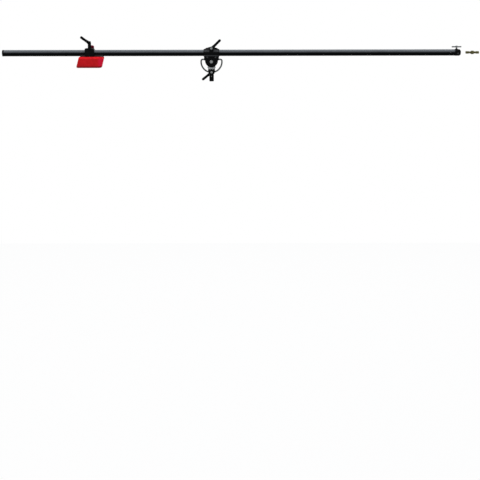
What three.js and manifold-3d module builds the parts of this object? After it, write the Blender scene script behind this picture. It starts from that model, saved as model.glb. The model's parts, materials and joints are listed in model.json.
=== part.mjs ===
// An overhead boom arm: a long tube in a tilting head on a stud, with a counterweight that
// slides on its rear half and a socket for a spigot at its front end.
// Sizes are in millimetres. X runs along the boom to its front end and Z is up. The origin is
// the middle of the stud's foot. The near side faces -Y and the far side, with the levers, +Y.

import * as THREE from 'three';
import { mergeVertices } from 'three/addons/utils/BufferGeometryUtils.js';
import Module from 'manifold-3d';

const wasm = await Module();
wasm.setup();

// Fits
const touchGap = 0.3; // between faces that bear on each other
const slideGap = 0.3; // radial gap where one part slides or turns in another
const swingGap = 0.6; // round a part that swings past another
const overrun = 4; // how far a cut passes the face that it opens

// Boom tube
const tubeDiameter = 40;
const tubeWall = 2;
const boomRear = 1327; // from the pivot line to the rear end
const boomFront = 1581; // from the pivot line to the nose of the front socket

// Stud
const studDiameter = 28.6;
const studLength = 46;
const studChamfer = 3.5;
const studBore = 18;
const studBoreDepth = 32;
const studPinDiameter = 5;
const studPinDrop = 14; // from the stud's top to its cross pin
const studPinInset = 0.8; // from the stud's side to the pin's end
const stemEndGap = 1;

// Lock body, the block on the stud that grips the arc rod
const lockTopLength = 46;
const lockFootLength = 36;
const lockDepth = 34;
const lockFloor = 10.7; // from its underside to the arc rod
const lockCrown = 20; // from the arc rod to its top
const lockCorner = 3;
const channelGap = 0.5; // round the arc rod in its channel
const padThickness = 3;
const padEdge = 0.5;

// Yoke, the plate that carries the pivot
const yokeThickness = 16;
const yokeRadius = 31;
const yokeNeckLength = 43;
const yokeTenonLength = 32;
const yokeTenonDepth = 7.7;
const yokePinDiameter = 4;
const yokePinSpread = 18;
const yokeEdge = 1;
const yokeCorner = 2;

// Pivot
const pivotBoltDiameter = 12;
const pivotBoltAcross = 17; // across the flats of its head
const pivotHeadHeight = 7.5;
const pivotNutHeight = 10;
const pivotThreadTail = 3; // thread that shows past the nut
const pivotWasherRadius = 12;
const washerThickness = 2;
const frictionRadius = 30;
const frictionThickness = 2.4;

// Cheeks, the two castings that hold the tube and turn on the pivot
const cheekThickness = 15;
const cheekLength = 94;
const cheekDiscRadius = 39.5;
const cheekDiscLift = 7; // of the disc's centre above the pivot
const cheekLedgeRise = 40; // from the pivot to the ledge under the tube
const cheekSkirtRise = 12.5; // from the pivot to the underside of the wide part
const cheekLedgeCorner = 4;
const cheekSkirtCorner = 6;
const cheekEdge = 1.5;
const dishRadius = 30;
const dishDepth = 3;
const pivotBossRadius = 15;
const bridgeThickness = 2.8; // of metal between the yoke's disc and the tube's bore
const gripWall = 7.4;
const gripTaperLength = 18; // of each end of the round part about the tube
const gripMouthWall = 2.2; // at the taper's small end
const clampSlot = 3; // between the cheeks above the tube
const flangeThickness = 11;
const shoulderRise = 32.5; // from the boom's axis to the flange's shoulders
const shoulderCorner = 22;

// Clamp bolt at the top of the cheeks
const clampBoltDiameter = 8;
const clampBoltWall = 1; // of metal between the bolt's hole and the tube's bore
const clampBossRadius = 12;
const clampBossReach = 26; // from the middle plane to the boss's face
const clampBoltAcross = 13;
const clampHeadHeight = 5.5;
const clampWasherRadius = 9;

// Screws that hold the cheeks together under the tube
const cheekScrewDiameter = 6;
const cheekScrewSpread = 53;
const cheekScrewWall = 2.1; // of metal between the screws' holes and the tube's bore
const cheekScrewHeadRadius = 5;
const cheekScrewHeadHeight = 5.4;
const cheekNutAcross = 10;
const cheekNutHeight = 5;
const cheekScrewBossRadius = 6.5;
const counterboreRadius = 6.2;
const counterboreWall = 1.6;
const counterboreStand = 1.5; // how far its rim stands off the cheek
const counterboreDepth = 6;

// Liner, a split bush between the cheeks and the tube, and the screws that set its drag
const linerWall = 1.5;
const linerFlangeRadius = 25;
const linerFlangeThickness = 2;
const linerSlit = 3;
const linerScrewDiameter = 7;
const linerScrewSpread = 48;
const linerScrewRise = 9.3; // above the boom's axis
const linerScrewBossRadius = 7;
const linerScrewReach = 31; // from the middle plane to the screw's outer end
const hexSocketDepth = 3;

// Arc rod, the bent bar that swings through the lock body
const arcRodDiameter = 10;
const arcRadius = 66;
const arcEndRise = 15.5; // of its level ends above the pivot
const arcBendRadius = 12;
const arcEndInset = 12.5; // from the cheek's end to the rod's end
const arcSeatWall = 2.5;
const arcPinDiameter = 3;
const arcPinInset = 6; // from the cheek's end to the pin
const arcPinLength = 18;

// Ratchet levers, all three alike
const leverReach = 80; // from the hub's axis to the end of the arm
const leverRise = 25; // degrees that the arm climbs
const leverHubRadius = 11;
const leverHubTopRadius = 8.6;
const leverHubHeight = 44;
const leverArmStart = 33; // height at which the arm leaves the hub's axis
const leverArmRootRadius = 8;
const leverArmTipRadius = 7.6;
const leverWellRadius = 4.6;
const leverWellFloor = 20;
const leverWeb = 3; // between the insert's bore and the well
const clampLeverTurn = -45; // degrees, seen from the far side
const tiltLeverTurn = 141.5;
const weightLeverTurn = 233; // degrees, seen from above
const insertRadius = 6.8;
const insertToothDepth = 0.7;
const capScrewDiameter = 4;
const capScrewHeadRadius = 3.9;
const capScrewHeadHeight = 3;
const capScrewReach = 7; // into the insert
const springWire = 1;
const springHeight = 8;
const springRadius = 3.1;
const springTurns = 3;
const tiltScrewDiameter = 10;
const anvilBoltAcross = 13;
const anvilHeadHeight = 5;

// Counterweight
const weightPlace = 770; // from the pivot line back to the middle of its clamp
const weightLength = 158;
const weightFrontReach = 90; // from the clamp's middle to its front top corner
const weightSlant = 19; // how far its foot is set back from its top
const weightHeight = 69.5;
const weightTopGap = 4; // from the tube to its top
const weightDepth = 76;
const weightFootCorner = 6;
const weightTopCorner = 3;
const weightEdge = 2;
const weightTopBevelHeight = 12;
const weightTopBevelDepth = 4;
const weightFacet = 35; // run of the front corners' facets, the same both ways
const panelMargin = 11;
const panelDepth = 1.2;
const panelCorner = 4;
const saddleWidthShare = 0.85; // of the tube's diameter
const saddleRiseShare = 0.55; // of the tube's radius, from its axis down to the saddle's rims
const saddleEndInset = 5;
const backRibInset = 2;
const backRibThickness = 10;
const backRibRise = 13;
const lugWidth = 28;
const lugSetout = 8; // of its middle in front of the clamp's middle
const lugTopCorner = 11;
const lugHornRise = 38; // from the boom's axis to the centre of its round top
const lugHornRadius = 11;
const lugHornSetback = 27;
const lugFootRadius = 7;
const lugFootSetback = 30;

// Jaw, the hinged cap that clamps the counterweight to the tube
const jawLength = 56;
const jawTopRise = 31;
const jawTopCorner = 12;
const jawFootCorner = 3;
const jawFootGap = 3;
const jawLegReach = 37;
const jawLegCorner = 4;
const jawBrowRadius = 8;
const jawCrownSetout = 12; // of the crown's centre in front of the boom's axis
const jawCrownRadius = 12;
const jawKnuckleRadius = 9.5;
const jawPinDiameter = 8;
const jawPinSetback = 28;
const jawPinRise = 20;
const jawPinEndInset = 1;
const jawSeatRadius = 12;
const jawSeatRise = 30;
const weightScrewDiameter = 8;
const weightScrewSetout = 28.5;
const weightScrewGap = 0.6;
const weightThreadDepth = 34;
const weightScrewTail = 30; // of the screw in the casting

// Rear cap
const capHeadLength = 10;
const capHeadRadius = 20.4;
const capHeadCorner = 3;
const capPlugLength = 25;
const capPlugWall = 2.5;

// Front socket
const socketHeadLength = 38;
const socketHeadRadius = 20.8;
const socketNoseCorner = 11;
const socketPlugLength = 45;
const spigotDiameter = 16;
const socketDepth = 50;
const socketPinDiameter = 5;
const socketPinSetback = 66; // from the nose
const socketPinInset = 0.5;
const catchScrewDiameter = 8;
const catchScrewSetback = 19; // from the nose
const catchScrewAngle = 15; // degrees below level
const catchScrewHeadRadius = 4.6;
const catchScrewHeadHeight = 1.5;

// T-screw over the socket
const tScrewSetback = 27; // from the nose
const tScrewDiameter = 8;
const tScrewBossRadius = 8.5;
const tScrewBossRise = 24; // above the boom's axis
const tHubRadius = 6;
const tHubHeight = 14;
const tBarDiameter = 8;
const tBarLength = 61;
const tBarRise = 35.6; // above the boom's axis
const tBarEdge = 1;

// Spigot, shown drawn out in line with the socket
const spigotLength = 85;
const spigotDraw = 31; // from the nose to the spigot's near end
const spigotHexAcross = 22;
const spigotHexLength = 15;
const spigotNeckLength = 4; // full diameter beside the hexagon
const spigotGrooveDiameter = 13;
const spigotGrooveLength = 12;
const spigotGrooveSlope = 1.5;
const spigotChamfer = 1.5;

// Places worked out from the sizes above
const tubeRadius = tubeDiameter / 2;
const linerInner = tubeRadius + slideGap;
const linerOuter = linerInner + linerWall;
const gripBore = linerOuter + slideGap;
const gripRadius = gripBore + gripWall;
const lockFoot = studLength + touchGap;
const rodHeight = lockFoot + lockFloor; // of the arc rod where it crosses the lock body
const lockTop = rodHeight + lockCrown;
const pivotHeight = rodHeight + arcRadius;
const boomRise = yokeRadius + swingGap + bridgeThickness + gripBore; // above the pivot
const cheekInner = yokeThickness / 2 + touchGap + frictionThickness + touchGap;
const cheekOuter = cheekInner + cheekThickness;
const cheekScrewHole = cheekScrewDiameter / 2 + slideGap;
const cheekScrewRise = boomRise - gripBore - cheekScrewWall - cheekScrewHole; // above the pivot
const cheekEnd = cheekLength / 2;
const clampHole = clampBoltDiameter / 2 + slideGap;
const clampBoltRise = boomRise + gripBore + clampBoltWall + clampHole;
const channelRadius = arcRodDiameter / 2 + channelGap;
const insertHeight = leverWellFloor - leverWeb;
const tubeRearEnd = -boomRear + capHeadLength + touchGap;
const tubeFrontEnd = boomFront - socketHeadLength - touchGap;
const plugRadius = tubeRadius - tubeWall - slideGap;
const weightDrop = tubeRadius + weightTopGap; // from the boom's axis to the casting's top
const saddleHalf = tubeRadius * saddleWidthShare;
const saddleRims = -tubeRadius * saddleRiseShare;
const socketBore = spigotDiameter / 2 + slideGap;

// Finishes
const blackCasting = { color: 0x15171a, roughness: 0.5, metalness: 0.3 };
const blackTube = { color: 0x17191c, roughness: 0.32, metalness: 0.4 };
const blackPlastic = { color: 0x101113, roughness: 0.6, metalness: 0 };
const blackScrew = { color: 0x1d1e20, roughness: 0.4, metalness: 0.7 };
const brightSteel = { color: 0xb9bcbd, roughness: 0.28, metalness: 1 };
const greyAlloy = { color: 0x8f9496, roughness: 0.45, metalness: 0.9 };
const springSteel = { color: 0x6d6f72, roughness: 0.35, metalness: 1 };
const redPaint = { color: 0xb5161f, roughness: 0.45, metalness: 0.1 };
const brass = { color: 0x8d7f45, roughness: 0.35, metalness: 1 };
const fibre = { color: 0x4a3b2c, roughness: 0.9, metalness: 0 };
const blackRubber = { color: 0x0c0c0d, roughness: 0.85, metalness: 0 };

// Facets: a round has more sides the larger it is
const smallRound = 3.9;
const middleRound = 12.5;
const degree = Math.PI / 180;
const arcStep = 20 * degree;

function sidesOf(radius) {
  if (radius > middleRound) return 28;
  if (radius > smallRound) return 14;
  return 8;
}

// Signed volume of an indexed triangle mesh; it is negative when the faces point in.
function signedVolume(places, triangles) {
  const [a, b, c] = [new THREE.Vector3(), new THREE.Vector3(), new THREE.Vector3()];
  let sum = 0;
  for (let i = 0; i < triangles.length; i += 3) {
    a.fromArray(places, 3 * triangles[i]);
    b.fromArray(places, 3 * triangles[i + 1]);
    c.fromArray(places, 3 * triangles[i + 2]);
    sum += a.dot(b.cross(c)) / 6;
  }
  return sum;
}

// A closed geometry as a solid, with shared vertices merged and its faces pointing out.
function solid(geometry) {
  const bare = geometry.clone();
  bare.deleteAttribute('normal');
  bare.deleteAttribute('uv');
  const merged = mergeVertices(bare);
  const places = merged.attributes.position.array;
  const triangles = [];
  for (let i = 0; i < merged.index.count; i += 3) {
    const [a, b, c] = [0, 1, 2].map((k) => merged.index.getX(i + k));
    if (a !== b && b !== c && c !== a) triangles.push(a, b, c);
  }
  if (signedVolume(places, triangles) < 0) triangles.reverse();
  return new wasm.Manifold(new wasm.Mesh({
    numProp: 3,
    vertProperties: Float32Array.from(places),
    triVerts: Uint32Array.from(triangles),
  }));
}

function joined(...solids) {
  return solids.reduce((sum, next) => sum.add(next));
}

function cut(body, ...tools) {
  return tools.reduce((rest, tool) => rest.subtract(tool), body);
}

function geometryOf(body) {
  const mesh = body.getMesh();
  const geometry = new THREE.BufferGeometry();
  geometry.setAttribute('position', new THREE.BufferAttribute(mesh.vertProperties, 3));
  geometry.setIndex(new THREE.BufferAttribute(mesh.triVerts, 1));
  geometry.computeVertexNormals();
  return geometry;
}

// Points of an arc from one angle round to another, counter-clockwise.
function arcPoints(x, y, radius, start, end) {
  const turn = 2 * Math.PI;
  const sweep = (((end - start) % turn) + turn) % turn;
  const count = Math.max(1, Math.ceil(sweep / arcStep));
  return Array.from({ length: count + 1 }, (_, i) => {
    const angle = start + (sweep * i) / count;
    return new THREE.Vector2(x + radius * Math.cos(angle), y + radius * Math.sin(angle));
  });
}

function circle(x, y, radius) {
  const sides = sidesOf(radius);
  const points = Array.from({ length: sides }, (_, i) => {
    const angle = (2 * Math.PI * i) / sides;
    return new THREE.Vector2(x + radius * Math.cos(angle), y + radius * Math.sin(angle));
  });
  return new THREE.Shape(points);
}

// The outline of a belt pulled tight round circles [x, y, radius], given counter-clockwise.
function belt(circles) {
  const normals = circles.map(([x, y, radius], i) => {
    const [nextX, nextY, nextRadius] = circles[(i + 1) % circles.length];
    const along = Math.atan2(nextY - y, nextX - x);
    return along - Math.acos((radius - nextRadius) / Math.hypot(nextX - x, nextY - y));
  });
  const points = circles.flatMap(([x, y, radius], i) => {
    const arrives = normals[(i + circles.length - 1) % circles.length];
    return arcPoints(x, y, radius, arrives, normals[i]);
  });
  return new THREE.Shape(points);
}

// A convex polygon of corners [x, y, radius], counter-clockwise, with each corner rounded.
function rounded(corners) {
  const circles = corners.map(([x, y, radius], i) => {
    const [lastX, lastY] = corners[(i + corners.length - 1) % corners.length];
    const [nextX, nextY] = corners[(i + 1) % corners.length];
    const arrive = new THREE.Vector2(x - lastX, y - lastY).normalize();
    const leave = new THREE.Vector2(nextX - x, nextY - y).normalize();
    const inward = new THREE.Vector2(-arrive.y - leave.y, arrive.x + leave.x);
    const reach = radius / (1 + arrive.dot(leave));
    return [x + inward.x * reach, y + inward.y * reach, radius];
  });
  return belt(circles);
}

function polygon(corners) {
  return new THREE.Shape(corners.map(([x, y]) => new THREE.Vector2(x, y)));
}

// Outline planes: where the outline's right, its up and the extrusion point.
const [alongX, alongY, alongZ] = [
  new THREE.Vector3(1, 0, 0),
  new THREE.Vector3(0, 1, 0),
  new THREE.Vector3(0, 0, 1),
];
const planes = {
  xy: [alongX, alongY, alongZ],
  xz: [alongX, alongZ, alongY.clone().negate()],
  yz: [alongY, alongZ, alongX],
};

// An outline drawn in a plane and carried from one place to another across that plane.
function extrude(outline, plane, from, to, edge = 0) {
  const geometry = new THREE.ExtrudeGeometry(outline, {
    depth: to - from - 2 * edge,
    steps: 1,
    bevelEnabled: edge > 0,
    bevelThickness: edge,
    bevelSize: edge,
    bevelOffset: -edge,
    bevelSegments: 1,
  });
  geometry.translate(0, 0, edge);
  geometry.applyMatrix4(new THREE.Matrix4().makeBasis(...planes[plane]));
  const start = { xy: [0, 0, from], xz: [0, to, 0], yz: [from, 0, 0] }[plane];
  return solid(geometry.translate(...start));
}

// A profile of [radius, distance] turned about an axis through a point.
function turned(profile, axis = 'z', at = [0, 0, 0], sides = 0) {
  const widest = Math.max(...profile.map(([radius]) => radius));
  const points = profile.map(([radius, along]) => new THREE.Vector2(radius, along));
  const geometry = new THREE.LatheGeometry(points, sides || sidesOf(widest));
  if (axis === 'x') geometry.rotateZ(-Math.PI / 2);
  if (axis === 'z') geometry.rotateX(Math.PI / 2);
  return solid(geometry.translate(...at));
}

function rod(radius, from, to, axis = 'z', at = [0, 0, 0], edge = 0) {
  const ends = edge
    ? [[0, from], [radius - edge, from], [radius, from + edge],
      [radius, to - edge], [radius - edge, to], [0, to]]
    : [[0, from], [radius, from], [radius, to], [0, to]];
  return turned(ends, axis, at);
}

function ring(inner, outer, from, to, axis = 'z', at = [0, 0, 0]) {
  return turned([[inner, from], [outer, from], [outer, to], [inner, to], [inner, from]], axis, at);
}

function box(x0, x1, y0, y1, z0, z1) {
  const geometry = new THREE.BoxGeometry(x1 - x0, y1 - y0, z1 - z0);
  return solid(geometry.translate((x0 + x1) / 2, (y0 + y1) / 2, (z0 + z1) / 2));
}

function hexagon(across) {
  const radius = across / Math.sqrt(3);
  const corners = Array.from({ length: 6 }, (_, i) => {
    const angle = (i * Math.PI) / 3;
    return [radius * Math.cos(angle), radius * Math.sin(angle)];
  });
  return polygon(corners);
}

// A hexagon from one height to another, with its corners turned down at the top.
function hexHead(across, from, to) {
  const corner = across / Math.sqrt(3);
  const slope = corner - across / 2;
  const crown = turned([[0, from], [corner, from], [corner, to - slope], [across / 2, to], [0, to]]);
  return extrude(hexagon(across), 'xy', from, to).intersect(crown);
}

// The far side's solid seen in a mirror, for the near side.
function mirrored(body) {
  return solid(geometryOf(body).scale(1, -1, 1));
}

function mesh(name, body, finish) {
  const made = new THREE.Mesh(geometryOf(body), new THREE.MeshStandardMaterial(finish));
  made.name = name;
  return made;
}

const facings = {
  near: [Math.PI / 2, 0, 0],
  far: [-Math.PI / 2, 0, 0],
};

// A group of meshes moved to a place, with their own Z turned to face a side.
function group(meshes, place = [0, 0, 0], facing = null, turn = 0) {
  const outer = new THREE.Group();
  outer.position.set(...place);
  if (facing) outer.rotation.set(...facings[facing]);
  const inner = new THREE.Group();
  inner.rotation.z = turn;
  inner.add(...meshes);
  outer.add(inner);
  return outer;
}

// A hexagon bolt whose head stands on z = 0 and whose shank hangs below it.
function hexBolt(across, headHeight, shankRadius, shankLength) {
  return joined(
    hexHead(across, 0, headHeight),
    rod(shankRadius, -shankLength, overrun / 2, 'z'),
  );
}

function hexNut(across, height, boreRadius) {
  return cut(hexHead(across, 0, height), rod(boreRadius, -overrun, height + overrun));
}

// Arc rod and channel

// The route of the arc rod in the XZ plane, seen from the pivot.
function arcRoute() {
  const route = new THREE.CurvePath();
  const end = cheekEnd - arcEndInset;
  const bendX = arcRadius - arcBendRadius;
  const bendZ = arcEndRise - arcBendRadius;
  const control = (side) => new THREE.Vector3(side * arcRadius, 0, arcEndRise);
  const bendStart = (side) => new THREE.Vector3(side * bendX, 0, arcEndRise);
  const bendEnd = (side) => new THREE.Vector3(side * arcRadius, 0, bendZ);
  const levelEnd = (side) => new THREE.Vector3(side * end, 0, arcEndRise);
  const side = (sign) => new THREE.Vector3(sign * arcRadius, 0, 0);
  route.add(new THREE.LineCurve3(levelEnd(-1), bendStart(-1)));
  route.add(new THREE.QuadraticBezierCurve3(bendStart(-1), control(-1), bendEnd(-1)));
  route.add(new THREE.LineCurve3(bendEnd(-1), side(-1)));
  route.add(new SwingCurve(-90 * degree, 90 * degree));
  route.add(new THREE.LineCurve3(side(1), bendEnd(1)));
  route.add(new THREE.QuadraticBezierCurve3(bendEnd(1), control(1), bendStart(1)));
  route.add(new THREE.LineCurve3(bendStart(1), levelEnd(1)));
  return route;
}

// Part of the circle about the pivot, with angles measured from straight down.
class SwingCurve extends THREE.Curve {
  constructor(start, end) {
    super();
    this.start = start;
    this.end = end;
  }

  getPoint(share, target = new THREE.Vector3()) {
    const angle = this.start + (this.end - this.start) * share;
    return target.set(arcRadius * Math.sin(angle), 0, -arcRadius * Math.cos(angle));
  }
}

class Helix extends THREE.Curve {
  constructor(radius, from, to, turns) {
    super();
    Object.assign(this, { radius, from, to, turns });
  }

  getPoint(share, target = new THREE.Vector3()) {
    const angle = 2 * Math.PI * this.turns * share;
    const height = this.from + (this.to - this.from) * share;
    return target.set(this.radius * Math.cos(angle), this.radius * Math.sin(angle), height);
  }
}

function swept(route, radius, sides, steps) {
  const corners = Array.from({ length: sides }, (_, i) => {
    const angle = (2 * Math.PI * i) / sides;
    return [radius * Math.cos(angle), radius * Math.sin(angle)];
  });
  return solid(new THREE.ExtrudeGeometry(polygon(corners), { steps, extrudePath: route }));
}

// Stud, lock body and yoke, which stand still

function studSolid() {
  const radius = studDiameter / 2;
  const outside = turned([[0, 0], [radius - studChamfer, 0], [radius, studChamfer],
    [radius, studLength - studChamfer / 2], [radius - studChamfer / 2, studLength],
    [0, studLength]]);
  return cut(
    outside,
    rod(studBore / 2, studLength - studBoreDepth, studLength + overrun),
    rod(studPinDiameter / 2 + slideGap, -studDiameter, studDiameter, 'y',
      [0, 0, studLength - studPinDrop]),
  );
}

function studPin() {
  const half = studDiameter / 2 - studPinInset;
  return rod(studPinDiameter / 2, -half, half, 'y', [0, 0, studLength - studPinDrop]);
}

// The holes of the two pins through the tenon.
function yokePinHoles() {
  return [-1, 1].map((side) => rod(yokePinDiameter / 2 + slideGap, -lockDepth, lockDepth, 'y',
    [side * yokePinSpread / 2, 0, lockTop - yokeTenonDepth / 2]));
}

function lockBody() {
  const [topHalf, footHalf, deepHalf] = [lockTopLength / 2, lockFootLength / 2, lockDepth / 2];
  const block = extrude(rounded([
    [-footHalf, lockFoot, lockCorner],
    [footHalf, lockFoot, lockCorner],
    [topHalf, lockTop, lockCorner],
    [-topHalf, lockTop, lockCorner],
  ]), 'xz', -deepHalf, deepHalf, lockCorner / 2);
  const stem = rod(studBore / 2 - slideGap, studLength - studBoreDepth + stemEndGap,
    lockFoot + lockFloor / 2);
  const reach = Math.asin((topHalf + overrun) / arcRadius);
  const channel = swept(new SwingCurve(-reach, reach), channelRadius, 12, 10)
    .translate([0, 0, pivotHeight]);
  const tenonHalf = yokeTenonLength / 2 + slideGap;
  const tenonDeep = yokeThickness / 2 + slideGap;
  return cut(
    joined(block, stem),
    channel,
    box(-tenonHalf, tenonHalf, -tenonDeep, tenonDeep,
      lockTop - yokeTenonDepth - touchGap, lockTop + overrun),
    rod(tiltScrewDiameter / 2 + slideGap, -lockDepth, lockDepth, 'y', [0, 0, rodHeight]),
    rod(studPinDiameter / 2 + slideGap, -studDiameter, studDiameter, 'y',
      [0, 0, studLength - studPinDrop]),
    ...yokePinHoles(),
  );
}

function yoke() {
  const half = yokeThickness / 2;
  const disc = extrude(circle(0, pivotHeight, yokeRadius), 'xz', -half, half, yokeEdge);
  const neckHalf = yokeNeckLength / 2;
  const neckFoot = lockTop + touchGap;
  const neck = extrude(rounded([
    [-neckHalf, neckFoot, yokeCorner],
    [neckHalf, neckFoot, yokeCorner],
    [neckHalf, pivotHeight - yokeRadius / 2, yokeCorner],
    [-neckHalf, pivotHeight - yokeRadius / 2, yokeCorner],
  ]), 'xz', -half, half, yokeEdge);
  const tenonHalf = yokeTenonLength / 2;
  const tenon = box(-tenonHalf, tenonHalf, -half, half,
    lockTop - yokeTenonDepth, neckFoot + yokeEdge * 2);
  const bore = pivotBoltDiameter / 2 + slideGap;
  return cut(
    joined(disc, neck, tenon),
    rod(bore, -yokeThickness, yokeThickness, 'y', [0, 0, pivotHeight]),
    ...yokePinHoles(),
  );
}

function yokePin(side) {
  const half = lockDepth / 2 - touchGap;
  return rod(yokePinDiameter / 2, -half, half, 'y',
    [side * yokePinSpread / 2, 0, lockTop - yokeTenonDepth / 2]);
}

function anvilBolt() {
  const length = lockDepth / 2 + touchGap - arcRodDiameter / 2 - touchGap;
  return hexBolt(anvilBoltAcross, anvilHeadHeight, tiltScrewDiameter / 2, length);
}

function standingParts() {
  const frictionInner = yokeThickness / 2 + touchGap;
  const frictionBore = pivotBoltDiameter / 2 + slideGap;
  const frictionDisc = ring(frictionBore, frictionRadius, 0, frictionThickness);
  const washer = ring(frictionBore, pivotWasherRadius, 0, washerThickness);
  const washerPlace = cheekOuter + touchGap;
  const headPlace = washerPlace + washerThickness + touchGap;
  const boltLength = 2 * headPlace + pivotNutHeight + pivotThreadTail;
  const bolt = hexBolt(pivotBoltAcross, pivotHeadHeight, pivotBoltDiameter / 2, boltLength);
  const nut = hexNut(pivotBoltAcross, pivotNutHeight, frictionBore);
  return [
    mesh('stud', studSolid(), blackCasting),
    mesh('stud_pin', studPin(), springSteel),
    mesh('lock_body', lockBody(), blackCasting),
    mesh('yoke', yoke(), greyAlloy),
    mesh('yoke_pin_rear', yokePin(-1), springSteel),
    mesh('yoke_pin_front', yokePin(1), springSteel),
    group([mesh('anvil_bolt', anvilBolt(), brightSteel)],
      [0, -lockDepth / 2 - touchGap, rodHeight], 'near'),
    group([mesh('friction_disc_near', frictionDisc, fibre)],
      [0, -frictionInner, pivotHeight], 'near'),
    group([mesh('friction_disc_far', frictionDisc, fibre)],
      [0, frictionInner, pivotHeight], 'far'),
    group([mesh('pivot_washer_near', washer, blackScrew)],
      [0, -washerPlace, pivotHeight], 'near'),
    group([mesh('pivot_washer_far', washer, blackScrew)],
      [0, washerPlace, pivotHeight], 'far'),
    group([mesh('pivot_bolt', bolt, brightSteel)], [0, -headPlace, pivotHeight], 'near'),
    group([mesh('pivot_nut', nut, brightSteel)], [0, headPlace, pivotHeight], 'far'),
  ];
}

// Ratchet lever with its insert, spring and cap screw

function toothedOutline(radius) {
  const teeth = 12;
  const points = Array.from({ length: 2 * teeth }, (_, i) => {
    const reach = i % 2 ? radius : radius - insertToothDepth;
    const angle = (Math.PI * i) / teeth;
    return [reach * Math.cos(angle), reach * Math.sin(angle)];
  });
  return polygon(points);
}

function leverSolid() {
  const crown = leverHubRadius - leverHubTopRadius;
  const hub = turned([[0, touchGap], [leverHubRadius - crown, touchGap],
    [leverHubRadius, touchGap + crown], [leverHubRadius, leverArmStart / 3],
    [leverHubTopRadius, leverHubHeight - crown],
    [leverHubTopRadius - crown / 3, leverHubHeight - crown / 3],
    [leverHubTopRadius - crown, leverHubHeight], [0, leverHubHeight]]);
  const climb = leverRise * degree;
  const armLength = (leverReach - leverArmTipRadius) / Math.cos(climb);
  const tip = arcPoints(0, armLength, leverArmTipRadius, 0, 90 * degree);
  const armProfile = [[0, 0], [leverArmRootRadius, 0], ...tip.map((point) => [point.x, point.y])];
  armProfile[armProfile.length - 1][0] = 0;
  const points = armProfile.map(([radius, along]) => new THREE.Vector2(radius, along));
  const arm = new THREE.LatheGeometry(points, 16);
  arm.rotateZ(climb - Math.PI / 2);
  arm.rotateX(Math.PI / 2);
  arm.translate(0, 0, leverArmStart);
  return cut(
    joined(hub, solid(arm)),
    extrude(toothedOutline(insertRadius + slideGap), 'xy', -overrun, insertHeight + touchGap),
    rod(capScrewDiameter / 2 + slideGap, insertHeight, leverWellFloor + overrun),
    rod(leverWellRadius, leverWellFloor, leverReach),
  );
}

// The toothed insert; a negative reach gives it a screw below, a positive one a blind hole.
function insertSolid(threadRadius, reach) {
  const body = extrude(toothedOutline(insertRadius), 'xy', touchGap, insertHeight);
  const capHole = rod(capScrewDiameter / 2 + slideGap,
    insertHeight - capScrewReach - touchGap, insertHeight + overrun);
  if (reach < 0) return cut(joined(body, rod(threadRadius, reach, insertHeight / 2)), capHole);
  return cut(body, capHole, rod(threadRadius + slideGap, -overrun, reach));
}

function springSolid() {
  const low = leverWellFloor + touchGap + springWire / 2;
  const coil = new Helix(springRadius, low, low + springHeight - springWire, springTurns);
  return swept(coil, springWire / 2, 5, 8 * springTurns);
}

function capScrew() {
  const seat = leverWellFloor + touchGap + springHeight + touchGap;
  const head = rod(capScrewHeadRadius, seat, seat + capScrewHeadHeight);
  const shank = rod(capScrewDiameter / 2, insertHeight - capScrewReach, seat + touchGap);
  const socket = extrude(hexagon(capScrewDiameter), 'xy',
    seat + capScrewHeadHeight / 2, seat + capScrewHeadHeight + overrun);
  return cut(joined(head, shank), socket);
}

function leverParts(name, insert) {
  return [
    mesh(`${name}_lever`, leverSolid(), blackPlastic),
    mesh(`${name}_lever_insert`, insert, brightSteel),
    mesh(`${name}_lever_spring`, springSolid(), springSteel),
    mesh(`${name}_lever_screw`, capScrew(), blackScrew),
  ];
}

function tiltLockParts() {
  const face = lockDepth / 2 + touchGap;
  const padFar = arcRodDiameter / 2 + touchGap + padThickness;
  const screwReach = padFar + touchGap - face;
  const insert = insertSolid(tiltScrewDiameter / 2, screwReach);
  const pad = rod(tiltScrewDiameter / 2 - padEdge, padFar - padThickness, padFar, 'y',
    [0, 0, rodHeight], padEdge);
  return [
    group(leverParts('tilt', insert), [0, face, rodHeight], 'far', tiltLeverTurn * degree),
    mesh('lock_pad', pad, brass),
  ];
}

// Head: the two cheeks and what they hold, seen from the pivot

// One cheek for the far side, in halves of a form that meets on the middle plane.
function cheek() {
  const plate = joined(
    extrude(circle(0, cheekDiscLift, cheekDiscRadius), 'xz', -cheekEdge, cheekOuter, cheekEdge),
    extrude(rounded([
      [-cheekEnd, cheekSkirtRise, cheekSkirtCorner],
      [cheekEnd, cheekSkirtRise, cheekSkirtCorner],
      [cheekEnd, cheekLedgeRise, cheekLedgeCorner],
      [-cheekEnd, cheekLedgeRise, cheekLedgeCorner],
    ]), 'xz', -cheekEdge, cheekOuter, cheekEdge),
  );
  const inside = box(-cheekLength, cheekLength, -cheekOuter, cheekInner,
    -cheekLength, cheekLength);
  const mouth = gripBore + gripMouthWall;
  const taper = cheekEnd - gripTaperLength;
  const grip = turned([[0, -cheekEnd], [mouth, -cheekEnd], [gripRadius, -taper],
    [gripRadius, taper], [mouth, cheekEnd], [0, cheekEnd]], 'x', [0, 0, boomRise]);
  const shoulder = boomRise + shoulderRise - shoulderCorner;
  const shoulderX = cheekEnd - shoulderCorner;
  const flangeFar = clampSlot / 2 + flangeThickness;
  const flange = extrude(belt([
    [shoulderX, boomRise, shoulderCorner],
    [shoulderX, shoulder, shoulderCorner],
    [0, clampBoltRise, clampBossRadius],
    [-shoulderX, shoulder, shoulderCorner],
    [-shoulderX, boomRise, shoulderCorner],
  ]), 'xz', -flangeFar, flangeFar, cheekEdge);
  const clampBoss = rod(clampBossRadius, 0, clampBossReach, 'y', [0, 0, clampBoltRise], cheekEdge);
  const body = joined(cut(plate, inside), grip, flange, clampBoss, ...cheekBosses());
  return cut(body, ...cheekCuts());
}

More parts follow.
